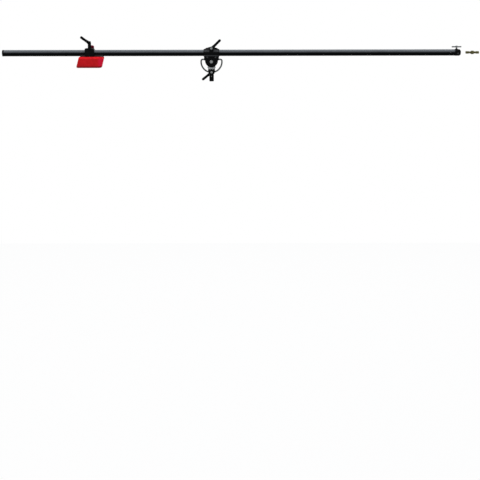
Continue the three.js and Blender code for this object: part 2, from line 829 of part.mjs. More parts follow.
function cheekBosses() {
  const bosses = [];
  for (const side of [-1, 1]) {
    const screwPlace = [side * cheekScrewSpread / 2, 0, cheekScrewRise];
    bosses.push(rod(cheekScrewBossRadius, 0, cheekInner + overrun, 'y', screwPlace));
    bosses.push(rod(counterboreRadius + counterboreWall, cheekInner,
      cheekOuter + counterboreStand, 'y', screwPlace));
    bosses.push(rod(linerScrewBossRadius, tubeRadius, linerScrewReach, 'y',
      [side * linerScrewSpread / 2, 0, boomRise + linerScrewRise]));
    const seatHalf = arcRodDiameter / 2 + arcSeatWall;
    const seatEnds = [side * (cheekEnd - arcEndInset - arcSeatWall / 2),
      side * (cheekEnd - cheekEdge)].sort((a, b) => a - b);
    bosses.push(box(...seatEnds, 0, cheekInner + overrun,
      arcEndRise - seatHalf, arcEndRise + seatHalf));
  }
  return bosses;
}

function cheekCuts() {
  const cuts = [
    rod(gripBore, -cheekLength, cheekLength, 'x', [0, 0, boomRise]),
    rod(yokeRadius + swingGap, -cheekOuter, cheekInner, 'y'),
    rod(pivotBoltDiameter / 2 + slideGap, -cheekOuter, cheekOuter + overrun, 'y'),
    ring(pivotBossRadius, dishRadius, cheekOuter - dishDepth, cheekOuter + overrun, 'y'),
    rod(clampHole, -clampBossReach, clampBossReach + overrun, 'y', [0, 0, clampBoltRise]),
    box(-cheekLength, cheekLength, -cheekLength, clampSlot / 2, boomRise, boomRise + cheekLength),
    box(-cheekLength, cheekLength, -cheekLength, touchGap / 2, -cheekLength, boomRise + overrun),
  ];
  for (const side of [-1, 1]) {
    const screwPlace = [side * cheekScrewSpread / 2, 0, cheekScrewRise];
    cuts.push(rod(cheekScrewHole, -cheekOuter, cheekOuter + counterboreStand + overrun,
      'y', screwPlace));
    cuts.push(rod(counterboreRadius, cheekOuter + counterboreStand - counterboreDepth,
      cheekOuter + counterboreStand + overrun, 'y', screwPlace));
    cuts.push(rod(linerScrewDiameter / 2 + slideGap, 0, linerScrewReach + overrun, 'y',
      [side * linerScrewSpread / 2, 0, boomRise + linerScrewRise]));
    const innerEnd = side * (cheekEnd - arcEndInset - touchGap);
    const outerEnd = side * (cheekEnd + overrun);
    cuts.push(rod(arcRodDiameter / 2 + slideGap, Math.min(innerEnd, outerEnd),
      Math.max(innerEnd, outerEnd), 'x', [0, 0, arcEndRise]));
    cuts.push(rod(arcPinDiameter / 2 + slideGap, -cheekInner, arcPinLength / 2 + touchGap, 'y',
      [side * (cheekEnd - arcPinInset), 0, arcEndRise]));
  }
  return cuts;
}

function arcRod() {
  const bar = swept(arcRoute(), arcRodDiameter / 2, 8, 30);
  const holes = [-1, 1].map((side) => rod(arcPinDiameter / 2 + slideGap,
    -arcRodDiameter, arcRodDiameter, 'y', [side * (cheekEnd - arcPinInset), 0, arcEndRise]));
  return cut(bar, ...holes);
}

function arcPin(side) {
  return rod(arcPinDiameter / 2, -arcPinLength / 2, arcPinLength / 2, 'y',
    [side * (cheekEnd - arcPinInset), 0, arcEndRise]);
}

function socketScrew(headRadius, headHeight, shankRadius, shankLength) {
  const head = rod(headRadius, 0, headHeight);
  const shank = rod(shankRadius, -shankLength, headHeight / 2);
  const socket = extrude(hexagon(headRadius), 'xy', headHeight / 2, headHeight + overrun);
  return cut(joined(head, shank), socket);
}

// A headless screw with a hexagon socket in its top at z = 0.
function grubScrew(radius, length) {
  const socket = extrude(hexagon(radius), 'xy', -hexSocketDepth, overrun);
  return cut(rod(radius, -length, 0), socket);
}

// The least distance from the middle plane at which a liner screw's flat tip clears the liner.
function linerScrewTip() {
  const lowEdge = linerScrewRise - linerScrewDiameter / 2;
  return Math.sqrt(linerOuter ** 2 - lowEdge ** 2) + touchGap;
}

function headParts() {
  const farCheek = cheek();
  const counterboreFloor = cheekOuter + counterboreStand - counterboreDepth + touchGap;
  const cheekScrew = socketScrew(cheekScrewHeadRadius, cheekScrewHeadHeight,
    cheekScrewDiameter / 2, 2 * counterboreFloor + cheekNutHeight);
  const cheekNut = hexNut(cheekNutAcross, cheekNutHeight, cheekScrewHole);
  const washer = ring(clampHole, clampWasherRadius, 0, washerThickness);
  const washerPlace = clampBossReach + touchGap;
  const headPlace = washerPlace + washerThickness + touchGap;
  const clampBolt = hexBolt(clampBoltAcross, clampHeadHeight, clampBoltDiameter / 2,
    headPlace + clampBossReach + insertHeight / 2);
  const linerScrew = grubScrew(linerScrewDiameter / 2, linerScrewReach - linerScrewTip());
  const parts = [
    mesh('cheek_far', farCheek, blackCasting),
    mesh('cheek_near', mirrored(farCheek), blackCasting),
    mesh('arc_rod', arcRod(), brightSteel),
    group([mesh('clamp_washer', washer, blackScrew)], [0, -washerPlace, clampBoltRise], 'near'),
    group([mesh('clamp_bolt', clampBolt, brightSteel)], [0, -headPlace, clampBoltRise], 'near'),
  ];
  for (const [end, side] of [['rear', -1], ['front', 1]]) {
    const screwX = side * cheekScrewSpread / 2;
    const linerX = side * linerScrewSpread / 2;
    const linerZ = boomRise + linerScrewRise;
    parts.push(
      mesh(`arc_pin_${end}`, arcPin(side), springSteel),
      group([mesh(`cheek_screw_${end}`, cheekScrew, blackScrew)],
        [screwX, -counterboreFloor, cheekScrewRise], 'near'),
      group([mesh(`cheek_nut_${end}`, cheekNut, blackScrew)],
        [screwX, counterboreFloor, cheekScrewRise], 'far'),
      group([mesh(`liner_screw_near_${end}`, linerScrew, blackScrew)],
        [linerX, -linerScrewReach, linerZ], 'near'),
      group([mesh(`liner_screw_far_${end}`, linerScrew, blackScrew)],
        [linerX, linerScrewReach, linerZ], 'far'),
    );
  }
  return parts;
}

function clampLeverParts() {
  const insert = insertSolid(clampBoltDiameter / 2, insertHeight / 2 + touchGap);
  const place = [0, clampBossReach + touchGap, clampBoltRise];
  return group(leverParts('clamp', insert), place, 'far', clampLeverTurn * degree);
}

function liner() {
  const [half, flangeStart] = [cheekEnd + touchGap + linerFlangeThickness, cheekEnd + touchGap];
  const bush = turned([
    [linerInner, -half], [linerFlangeRadius, -half], [linerFlangeRadius, -flangeStart],
    [linerOuter, -flangeStart], [linerOuter, flangeStart], [linerFlangeRadius, flangeStart],
    [linerFlangeRadius, half], [linerInner, half], [linerInner, -half]], 'x');
  return cut(bush, box(-cheekLength, cheekLength, -linerSlit / 2, linerSlit / 2,
    -linerFlangeRadius - overrun, 0));
}

// Boom: tube, rear cap and front socket, seen from the point on its axis above the pivot

function tube() {
  const pinHole = rod(socketPinDiameter / 2 + slideGap, -tubeDiameter, tubeDiameter, 'y',
    [boomFront - socketPinSetback, 0, 0]);
  return cut(ring(tubeRadius - tubeWall, tubeRadius, tubeRearEnd, tubeFrontEnd, 'x'), pinHole);
}

function rearCap() {
  const headEnd = -boomRear + capHeadLength;
  const plugEnd = headEnd + capPlugLength;
  const bore = plugRadius - capPlugWall;
  const edge = arcPoints(capHeadRadius - capHeadCorner, -boomRear + capHeadCorner, capHeadCorner,
    -90 * degree, 0).map((point) => [point.x, point.y]);
  return turned([[0, -boomRear], ...edge, [capHeadRadius, headEnd],
    [plugRadius, headEnd], [plugRadius, plugEnd - capPlugWall],
    [plugRadius - capPlugWall / 2, plugEnd],
    [bore, plugEnd], [bore, headEnd], [0, headEnd]], 'x');
}

// A tool along a radius of the boom, turned down from level on the near side.
function catchRadial(body) {
  const geometry = geometryOf(body);
  geometry.rotateX(Math.PI / 2);
  geometry.rotateX(catchScrewAngle * degree);
  geometry.translate(boomFront - catchScrewSetback, 0, 0);
  return solid(geometry);
}

function endSocket() {
  const headStart = boomFront - socketHeadLength;
  const nose = arcPoints(socketHeadRadius - socketNoseCorner, boomFront - socketNoseCorner,
    socketNoseCorner, 0, 90 * degree).map((point) => [point.x, point.y]);
  const casting = turned([[0, headStart - socketPlugLength],
    [plugRadius, headStart - socketPlugLength], [plugRadius, headStart],
    [socketHeadRadius, headStart], ...nose, [0, boomFront]], 'x');
  const bossPlace = [boomFront - tScrewSetback, 0, 0];
  const boss = rod(tScrewBossRadius, socketBore, tScrewBossRise, 'z', bossPlace, tBarEdge);
  return cut(
    joined(casting, boss),
    rod(socketBore, boomFront - socketDepth, boomFront + overrun, 'x'),
    rod(tScrewDiameter / 2 + slideGap, 0, tScrewBossRise + overrun, 'z', bossPlace),
    rod(socketPinDiameter / 2 + slideGap, -tubeDiameter, tubeDiameter, 'y',
      [boomFront - socketPinSetback, 0, 0]),
    catchRadial(rod(catchScrewDiameter / 2 + slideGap, 0, tubeDiameter)),
  );
}

function catchScrew() {
  const seat = socketHeadRadius + touchGap;
  const tip = socketBore + touchGap;
  return catchRadial(socketScrew(catchScrewHeadRadius, catchScrewHeadHeight,
    catchScrewDiameter / 2, seat - tip).translate([0, 0, seat]));
}

function boomParts() {
  const pinHalf = tubeRadius - socketPinInset;
  const socketPin = rod(socketPinDiameter / 2, -pinHalf, pinHalf, 'y',
    [boomFront - socketPinSetback, 0, 0]);
  return [
    mesh('boom_tube', tube(), blackTube),
    mesh('rear_cap', rearCap(), blackPlastic),
    mesh('end_socket', endSocket(), blackCasting),
    mesh('socket_pin', socketPin, springSteel),
    mesh('catch_screw', catchScrew(), blackScrew),
  ];
}

function tScrewParts() {
  const hubFoot = tBarRise - tHubHeight / 2;
  const stem = rod(tScrewDiameter / 2, socketBore + touchGap, tBarRise);
  const hub = rod(tHubRadius, hubFoot, hubFoot + tHubHeight, 'z', [0, 0, 0], tBarEdge);
  const hole = rod(tBarDiameter / 2 + slideGap, -tBarLength, tBarLength, 'x', [0, 0, tBarRise]);
  const bar = rod(tBarDiameter / 2, -tBarLength / 2, tBarLength / 2, 'x', [0, 0, tBarRise],
    tBarEdge);
  return group([
    mesh('t_screw', cut(joined(stem, hub), hole), brightSteel),
    mesh('t_bar', bar, brightSteel),
  ], [boomFront - tScrewSetback, 0, 0]);
}

// The spigot is the same both ways from the middle of its hexagon.
function spigot() {
  const [radius, groove] = [spigotDiameter / 2, spigotGrooveDiameter / 2];
  const neck = spigotHexLength / 2 + spigotNeckLength;
  const grooveEnd = neck + spigotGrooveLength;
  const half = [[radius, neck], [groove, neck + spigotGrooveSlope],
    [groove, grooveEnd - spigotGrooveSlope], [radius, grooveEnd],
    [radius, spigotLength / 2 - spigotChamfer], [radius - spigotChamfer, spigotLength / 2],
    [0, spigotLength / 2]];
  const otherHalf = half.map(([r, along]) => [r, -along]).reverse();
  const shaft = turned([...otherHalf, ...half], 'x');
  const hexEnd = spigotHexLength / 2;
  const hex = joined(
    hexHead(spigotHexAcross, 0, hexEnd),
    solid(geometryOf(hexHead(spigotHexAcross, 0, hexEnd)).scale(1, 1, -1)),
  );
  return shaft.add(solid(geometryOf(hex).rotateY(Math.PI / 2)));
}

// Counterweight and its clamp, seen from the boom's axis at the clamp's middle

// How far back the casting's slanted ends lie at a height.
function slantAt(z) {
  return (weightSlant * (z + weightDrop)) / weightHeight;
}

// The casting's front view, drawn in by a margin, with rounded corners.
function weightOutline(margin, footCorner, topCorner) {
  const [top, foot] = [-weightDrop - margin, margin - weightDrop - weightHeight];
  const [rear, front] = [weightFrontReach - weightLength + margin, weightFrontReach - margin];
  return rounded([
    [rear + slantAt(foot), foot, footCorner],
    [front + slantAt(foot), foot, footCorner],
    [front + slantAt(top), top, topCorner],
    [rear + slantAt(top), top, topCorner],
  ]);
}

// Wedges that bevel the top edges of the two faces.
function topBevels() {
  const [face, top] = [weightDepth / 2, -weightDrop];
  return [-1, 1].map((side) => extrude(polygon([
    [side * (face + overrun * weightTopBevelDepth / weightTopBevelHeight),
      top - weightTopBevelHeight - overrun],
    [side * (face - weightTopBevelDepth - overrun * weightTopBevelDepth / weightTopBevelHeight),
      top + overrun],
    [side * (face + weightTopBevelHeight), top + overrun],
  ]), 'yz', -weightLength, weightLength));
}

// Wedges that take off the front corners at a slant.
function frontFacets() {
  const face = weightDepth / 2;
  const start = weightFrontReach - weightFacet;
  return [-1, 1].map((side) => extrude(polygon([
    [start - overrun, side * (face + overrun)],
    [weightFrontReach + overrun, side * (face - weightFacet - overrun)],
    [weightFrontReach + overrun, side * (face + overrun)],
  ]), 'xy', -weightDrop - weightHeight - overrun, -weightDrop + overrun));
}

function counterweight() {
  const half = weightDepth / 2;
  const top = -weightDrop;
  const [rear, front] = [weightFrontReach - weightLength, weightFrontReach];
  const block = cut(
    extrude(weightOutline(0, weightFootCorner, weightTopCorner), 'xz', -half, half, weightEdge),
    ...topBevels(),
    ...frontFacets(),
  );
  const ribFar = half - weightTopBevelDepth - backRibInset;
  const backRib = box(rear + saddleEndInset, front - saddleEndInset, ribFar - backRibThickness,
    ribFar, top - overrun, top + backRibRise);
  const [lugRear, lugFront] = [lugSetout - lugWidth / 2, lugSetout + lugWidth / 2];
  const lugSide = extrude(belt([
    [lugFootSetback, top, lugFootRadius],
    [jawPinSetback, jawPinRise, jawKnuckleRadius + touchGap],
    [lugHornSetback, lugHornRise, lugHornRadius],
  ]), 'yz', lugRear, lugFront);
  const lugTop = lugHornRise + lugHornRadius;
  const lugFace = extrude(rounded([
    [lugRear, top - overrun, weightTopCorner],
    [lugFront, top - overrun, weightTopCorner],
    [lugFront, lugTop, lugTopCorner],
    [lugRear, lugTop, lugTopCorner],
  ]), 'xz', -weightDepth, weightDepth);
  const panel = weightOutline(panelMargin, panelCorner, panelCorner);
  return cut(
    joined(block, backRib, lugSide.intersect(lugFace)),
    rod(jawPinDiameter / 2 + slideGap, -jawLength, jawLength, 'x',
      [0, jawPinSetback, jawPinRise]),
    rod(weightScrewDiameter / 2 + slideGap, top - weightThreadDepth, top + overrun, 'z',
      [0, -weightScrewSetout, 0]),
    extrude(panel, 'xz', -half - overrun, panelDepth - half),
    extrude(panel, 'xz', half - panelDepth, half + overrun),
  );
}

// A block on the casting's top, hollowed to lie round the lower side of the tube.
function saddlePad() {
  const block = box(weightFrontReach - weightLength + saddleEndInset,
    weightFrontReach - saddleEndInset, -saddleHalf, saddleHalf,
    touchGap - weightDrop, saddleRims);
  return cut(block, rod(tubeRadius + slideGap, -weightLength, weightLength, 'x'));
}

function jaw() {
  const legBottom = jawFootGap - weightDrop;
  const side = extrude(belt([
    [jawLegCorner - jawLegReach, legBottom + jawLegCorner, jawLegCorner],
    [-saddleHalf - swingGap - jawLegCorner, legBottom + jawLegCorner, jawLegCorner],
    [jawPinSetback, jawPinRise, jawKnuckleRadius],
    [-jawCrownSetout, jawTopRise - jawCrownRadius, jawCrownRadius],
    [jawBrowRadius - jawLegReach, jawPinRise, jawBrowRadius],
  ]), 'yz', -jawLength / 2, jawLength / 2);
  const half = jawLength / 2;
  const face = extrude(rounded([
    [-half, legBottom, jawFootCorner],
    [half, legBottom, jawFootCorner],
    [half, jawTopRise, jawTopCorner],
    [-half, jawTopRise, jawTopCorner],
  ]), 'xz', -weightDepth, weightDepth);
  const seat = rod(jawSeatRadius, jawPinRise, jawSeatRise, 'z', [0, -weightScrewSetout, 0], tBarEdge);
  const slotFront = lugHornSetback - lugHornRadius - swingGap;
  const [slotRear, slotEnd] = [lugSetout - lugWidth / 2 - slideGap,
    lugSetout + lugWidth / 2 + slideGap];
  return cut(
    joined(side.intersect(face), seat),
    rod(tubeRadius + slideGap, -jawLength, jawLength, 'x'),
    box(-jawLength, jawLength, -saddleHalf - swingGap, weightDepth,
      -weightDepth, saddleRims + swingGap),
    box(slotRear, slotEnd, slotFront, weightDepth, -weightDrop, weightDepth),
    rod(jawPinDiameter / 2 + slideGap, -jawLength, jawLength, 'x',
      [0, jawPinSetback, jawPinRise]),
    rod(weightScrewDiameter / 2 + weightScrewGap, legBottom - overrun, jawSeatRise + overrun,
      'z', [0, -weightScrewSetout, 0]),
  );
}

function weightParts() {
  const pinHalf = jawLength / 2 - jawPinEndInset;
  const pin = rod(jawPinDiameter / 2, -pinHalf, pinHalf, 'x', [0, jawPinSetback, jawPinRise]);
  const screwReach = -(jawSeatRise + touchGap + weightDrop + weightScrewTail);
  const insert = insertSolid(weightScrewDiameter / 2, screwReach);
  return [
    mesh('counterweight', counterweight(), redPaint),
    mesh('saddle_pad', saddlePad(), blackRubber),
    mesh('weight_jaw', jaw(), blackCasting),
    mesh('jaw_pin', pin, springSteel),
    group(leverParts('weight', insert), [0, -weightScrewSetout, jawSeatRise + touchGap], null,
      weightLeverTurn * degree),
  ];
}

// Assembly

const boomOrigin = [0, 0, boomRise];
const boom = group([
  ...boomParts(),
  tScrewParts(),
  group([mesh('boom_liner', liner(), blackPlastic)]),
  group([mesh('spigot', spigot(), brass)], [boomFront + spigotDraw + spigotLength / 2, 0, 0]),
  group(weightParts(), [-weightPlace, 0, 0]),
], boomOrigin);
const head = group([...headParts(), clampLeverParts(), boom], [0, 0, pivotHeight]);
const overheadBoomArm = group([...standingParts(), ...tiltLockParts(), head]);

export default overheadBoomArm;
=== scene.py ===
# Overhead boom arm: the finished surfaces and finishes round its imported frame.

import json
import math

import bmesh
import bpy
import numpy as np
from bpy.props import FloatProperty, FloatVectorProperty, IntProperty, PointerProperty
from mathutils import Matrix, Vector


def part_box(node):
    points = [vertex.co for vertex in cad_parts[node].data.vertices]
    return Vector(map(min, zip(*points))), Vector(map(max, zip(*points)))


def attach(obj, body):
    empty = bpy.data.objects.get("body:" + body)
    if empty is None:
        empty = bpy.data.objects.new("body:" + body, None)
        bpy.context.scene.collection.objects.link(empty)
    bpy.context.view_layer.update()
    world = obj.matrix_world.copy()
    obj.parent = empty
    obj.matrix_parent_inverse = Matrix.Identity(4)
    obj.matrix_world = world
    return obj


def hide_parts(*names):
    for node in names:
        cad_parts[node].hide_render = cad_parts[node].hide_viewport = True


bl_info = {
    "name": "Overhead boom arm",
    "version": (1, 0, 0),
    "blender": (4, 5, 0),
    "location": "View3D > Sidebar > Boom arm",
    "description": "Makes a grip boom arm with its head, counterweight and end socket",
    "category": "Add Mesh",
}

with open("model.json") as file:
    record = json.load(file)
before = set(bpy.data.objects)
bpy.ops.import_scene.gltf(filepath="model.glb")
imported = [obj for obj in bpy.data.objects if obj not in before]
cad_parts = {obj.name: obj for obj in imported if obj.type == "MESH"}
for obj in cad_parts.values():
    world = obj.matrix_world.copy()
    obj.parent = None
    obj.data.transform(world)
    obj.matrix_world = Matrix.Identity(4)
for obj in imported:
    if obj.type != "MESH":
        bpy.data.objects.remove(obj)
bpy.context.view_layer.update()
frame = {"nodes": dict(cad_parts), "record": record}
MM = 0.001
CLEAR = 0.3 * MM  # gap between a piece and what it sits, slides or turns in
PIN_HOLE = 2.8 * MM  # radius of the holes of the stud's and the socket's pins
SCREW_HOLE = 4.3 * MM  # radius of the hole round an 8 mm screw or pin
TUBE_BORE = 20.3 * MM  # radius of what the tube lies in
YOKE_PIN_HOLE = 2.3 * MM  # radius of the holes of the yoke's two pins
PIVOT_HOLE = 6.3 * MM  # radius of the cheeks' holes round the pivot bolt
DISC_POCKET = 31.6 * MM  # radius of the pocket for the yoke and its friction discs
SET_SCREW_HOLE = 3.8 * MM  # radius of the holes of the liner's set screws
CROSS_HOLE = 3.3 * MM  # radius of the holes of the cross screws
COUNTERBORE = 6.2 * MM  # radius round the heads of the cross screws
ARC_PIN_HOLE = 1.8 * MM  # radius of the holes of the arc rod's pins

# Directions in which a turned form's own Z can point
FACING = {
    "up": np.array([[1, 0, 0], [0, 1, 0], [0, 0, 1]]),
    "near": np.array([[1, 0, 0], [0, 0, -1], [0, 1, 0]]),
    "far": np.array([[1, 0, 0], [0, 0, 1], [0, -1, 0]]),
    "front": np.array([[0, 0, 1], [1, 0, 0], [0, 1, 0]]),
}


def length(name, default, description):
    """A size property in metres."""
    return FloatProperty(
        name=name, description=description, default=default, unit="LENGTH", precision=5
    )


def degrees(name, default, description):
    """An angle property, given in degrees."""
    return FloatProperty(
        name=name, description=description, default=math.radians(default), subtype="ANGLE"
    )


def number(name, default, description):
    """A plain number property."""
    return FloatProperty(name=name, description=description, default=default)


def tone(name, default, description):
    """A colour property, with linear red, green and blue."""
    return FloatVectorProperty(
        name=name, description=description, default=default, subtype="COLOR", size=3, min=0, max=1
    )


def middle(node):
    """The middle of a frame node's box."""
    low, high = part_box(node)
    return (low + high) / 2


# Surfaces

def placed(points, facing, place):
    """Points turned so that their own Z faces a direction, then moved to a place."""
    return points @ FACING[facing].T + np.asarray(place, float)


def quads_of(rows, columns, wrapped):
    """Corner numbers of the quads between neighbouring rows and columns of a grid whose columns
    run round into the first, and whose rows do so as well when they are wrapped."""
    r, c = np.meshgrid(np.arange(rows if wrapped else rows - 1), np.arange(columns), indexing="ij")
    r2, c2 = (r + 1) % rows, (c + 1) % columns
    corners = [r * columns + c, r * columns + c2, r2 * columns + c2, r2 * columns + c]
    return np.stack(corners, axis=-1).reshape(-1, 4)


def surface(name, rings, wrapped=False):
    """A closed skin through rings of points. The two end rings are closed by fans to their own
    middles, unless the rings run back into the first. It is turned inside out where the volume,
    a sixth of the sum of each triangle's triple product, comes out negative."""
    rows, columns, _ = rings.shape
    points = rings.reshape(-1, 3)
    quads = quads_of(rows, columns, wrapped)
    fans = np.empty((0, 3), int)
    if not wrapped:
        here = np.arange(columns)
        after = (here + 1) % columns
        first, last = rows * columns, rows * columns + 1
        end = (rows - 1) * columns
        fans = np.vstack([
            np.stack([np.full(columns, first), after, here], axis=1),
            np.stack([np.full(columns, last), end + here, end + after], axis=1),
        ])
        points = np.vstack([points, rings[0].mean(0), rings[-1].mean(0)])
    triangles = np.vstack([quads[:, [0, 1, 2]], quads[:, [0, 2, 3]], fans])
    a, b, c = (points[triangles[:, k]] for k in range(3))
    if np.einsum("ij,ij->i", a, np.cross(b, c)).sum() < 0:
        quads, fans = quads[:, ::-1], fans[:, ::-1]
    mesh = bpy.data.meshes.new(name)
    mesh.from_pydata(points.tolist(), [], quads.tolist() + fans.tolist())
    mesh.update()
    made = bpy.data.objects.new(name, mesh)
    bpy.context.scene.collection.objects.link(made)
    return made


def softened(corners, reach, steps=5, closed=False):
    """A polyline with each corner eased: from the corner, two points lie back along its sides by
    the reach, or by 0.48 of a shorter side, and a quadratic curve with the corner as its control
    point joins them. The ends of an open line stay where they are."""
    p = np.asarray(corners, float)
    before, after = np.roll(p, 1, axis=0), np.roll(p, -1, axis=0)
    reach = np.broadcast_to(np.asarray(reach, float), len(p)).copy()
    if not closed:
        reach[[0, -1]] = 0
    s = np.linspace(0, 1, steps + 1)[None, :, None]
    sides = []
    for other in (before, after):
        gap = np.linalg.norm(other - p, axis=1)
        back = np.minimum(reach, 0.48 * gap) / np.maximum(gap, 1e-12)
        sides.append(p + (other - p) * back[:, None])
    start, end = (side[:, None, :] for side in sides)
    curve = (1 - s) ** 2 * start + 2 * s * (1 - s) * p[:, None, :] + s**2 * end
    curve = curve.reshape(-1, p.shape[1])
    kept = np.linalg.norm(curve - np.roll(curve, 1, axis=0), axis=1) > 1e-9
    if not closed:
        kept[0] = True
    return curve[kept]


def hexagon_radius(theta, across):
    """The distance from a hexagon's middle to its side: half its width across the flats over the
    cosine of the angle from the nearest flat's middle."""
    return across / 2 / np.cos(theta % (math.pi / 3) - math.pi / 6)


def spun(name, rows, facing="up", place=(0, 0, 0), sides=64, wrapped=False):
    """A profile turned about its axis. Each row holds a distance along the axis, a radius and, if
    it has a third number, a width across flats: there the radius is the smaller of the row's own
    and the hexagon's, which gives a bolt's head its curved chamfers."""
    table = np.array([[*row, np.inf][:3] for row in rows], float)
    theta = np.linspace(0, 2 * math.pi, sides, endpoint=False)
    radius = np.minimum(table[:, 1:2], hexagon_radius(theta, table[:, 2:3]))
    along = np.broadcast_to(table[:, :1], radius.shape)
    rings = np.stack([radius * np.cos(theta), radius * np.sin(theta), along], axis=-1)
    return surface(name, placed(rings, facing, place), wrapped)


def threaded(name, radius, pitch, start, end, facing, place, sides=32):
    """A screw thread: on a grid of angle and height, the radius drops from the crest by six tenths
    of the pitch times a triangle wave of height over pitch less the share of the turn, and the
    wave fades out at both ends."""
    heights = np.arange(start, end, pitch / 6)
    heights = np.append(heights, end)[:, None]
    theta = np.linspace(0, 2 * math.pi, sides, endpoint=False)[None, :]
    phase = (heights / pitch - theta / (2 * math.pi)) % 1
    wave = 1 - np.abs(2 * phase - 1)
    fade = np.clip(np.minimum(heights - start, end - heights) / pitch, 0, 1)
    r = radius - 0.6 * pitch * (wave * fade + (1 - fade))
    rings = np.stack([r * np.cos(theta), r * np.sin(theta), heights + 0 * theta], axis=-1)
    return surface(name, placed(rings, facing, place))


def swept(name, path, radius, sides=24, up=(0, 1, 0)):
    """A round section carried along a path. At each point the section stands square to the path,
    with one of its axes square to the up direction as well. Radius may change along the path."""
    tangent = np.gradient(path, axis=0)
    tangent /= np.linalg.norm(tangent, axis=1, keepdims=True)
    side = np.cross(tangent, np.asarray(up, float))
    side /= np.linalg.norm(side, axis=1, keepdims=True)
    other = np.cross(side, tangent)
    theta = np.linspace(0, 2 * math.pi, sides, endpoint=False)
    radius = np.broadcast_to(radius, len(path))[:, None, None]
    ring = (side[:, None, :] * np.cos(theta)[None, :, None]
            + other[:, None, :] * np.sin(theta)[None, :, None])
    return surface(name, path[:, None, :] + radius * ring)


def slab(name, outline, low, high, edge=0.0, facing="near", place=(0, 0, 0)):
    """An outline carried across from one distance to another, rounded into both of its faces: over
    a quarter circle the ring moves in by the edge times one less the cosine, while it moves along
    by the edge times the sine. The outline is convex and runs counter-clockwise."""
    ahead = np.roll(outline, -1, axis=0) - np.roll(outline, 1, axis=0)
    ahead /= np.linalg.norm(ahead, axis=1, keepdims=True)
    inward = np.stack([-ahead[:, 1], ahead[:, 0]], axis=1)
    quarter = np.linspace(0, math.pi / 2, 5 if edge else 1)
    inset = edge * (1 - np.sin(quarter))
    depth = edge * (1 - np.cos(quarter))
    insets = np.concatenate([inset, inset[::-1]])
    depths = np.concatenate([low + depth, high - depth[::-1]])
    flat = outline[None] + insets[:, None, None] * inward[None]
    along = np.broadcast_to(depths[:, None, None], (*flat.shape[:2], 1))
    return surface(name, placed(np.concatenate([flat, along], axis=-1), facing, place))


def circle_outline(x, z, radius, count=72):
    """Points round a circle."""
    theta = np.linspace(0, 2 * math.pi, count, endpoint=False)
    return np.stack([x + radius * np.cos(theta), z + radius * np.sin(theta)], axis=1)


def hull_outline(circles, count=64):
    """The outline of a belt pulled tight round circles: the points of all the circles that lie
    furthest out in each of many directions, taken in order of direction."""
    theta = np.linspace(0, 2 * math.pi, count * 4, endpoint=False)
    out = np.stack([np.cos(theta), np.sin(theta)], axis=1)
    c = np.asarray(circles, float)
    reach = out @ c[:, :2].T + c[:, 2]
    best = reach.argmax(axis=1)
    points = c[best, :2] + out * c[best, 2:3]
    kept = np.linalg.norm(points - np.roll(points, 1, axis=0), axis=1) > 1e-9
    return points[kept]


# Changes to finished surfaces

def settled(made):
    """The object with its modifiers worked into its mesh."""
    graph = bpy.context.evaluated_depsgraph_get()
    old = made.data
    fresh = bpy.data.meshes.new_from_object(made.evaluated_get(graph))
    made.modifiers.clear()
    made.data = fresh
    fresh.name = made.name
    bpy.data.meshes.remove(old)
    return made


def combined(made, others, operation):
    """A union, difference or intersection with each of the others in turn, which are then
    deleted."""
    for other in others:
        step = made.modifiers.new(operation.lower(), "BOOLEAN")
        step.operation = operation
        step.solver = "EXACT"
        step.object = other
    settled(made)
    for other in others:
        dropped(other)
    return made


def joined(made, *others):
    return combined(made, others, "UNION")


def cut(made, *others):
    return combined(made, others, "DIFFERENCE")


def dropped(made):
    """Deletes an object and its mesh."""
    mesh = made.data
    bpy.data.objects.remove(made)
    bpy.data.meshes.remove(mesh)


def gathered(made, *others):
    """Puts the faces of the other objects into the first one's mesh as they are."""
    work = bmesh.new()
    for each in (made, *others):
        work.from_mesh(each.data)
    work.to_mesh(made.data)
    work.free()
    for other in others:
        dropped(other)
    return made


def cast(made, grain, passes):
    """Melts overlapping forms into one cast skin: it is drawn anew on a lattice of the grain's
    size, then each point moves half of the way to the mean of its neighbours, pass after pass,
    which rounds the edges and fills the inner corners."""
    step = made.modifiers.new("skin", "REMESH")
    step.mode = "VOXEL"
    step.voxel_size = grain
    step = made.modifiers.new("soft", "SMOOTH")
    step.factor = 0.5
    step.iterations = passes
    return settled(made)


def read(items, key, kind=np.float32):
    """One attribute of a mesh's points, corners or faces: rows of three, or whole numbers."""
    width = 3 if kind is np.float32 else 1
    values = np.empty(len(items) * width, kind)
    items.foreach_get(key, values)
    return values.reshape(-1, 3) if width == 3 else values


def points_of(made):
    """The places of an object's points, as rows of three."""
    return read(made.data.vertices, "co").astype(float)


def set_points(made, points):
    made.data.vertices.foreach_set("co", np.asarray(points, np.float32).ravel())
    made.data.update()
    return made


def turned_over(made):
    """The object seen in a mirror that stands on the boom's middle plane."""
    set_points(made, points_of(made) * np.array([1, -1, 1]))
    made.data.flip_normals()
    return made


def set_down(made, turn, facing, place):
    """Turns an object about its own Z, points that Z in a direction and moves it to a place."""
    spin = np.array([[math.cos(turn), -math.sin(turn), 0], [math.sin(turn), math.cos(turn), 0],
                     [0, 0, 1]])
    return set_points(made, placed(points_of(made) @ spin.T, facing, place))


def aimed(made, out, place):
    """Points an object's own Z along a direction and moves it to a place."""
    spin = np.array(Vector(out).to_track_quat("Z", "Y").to_matrix())
    return set_points(made, points_of(made) @ spin.T + np.array(place))


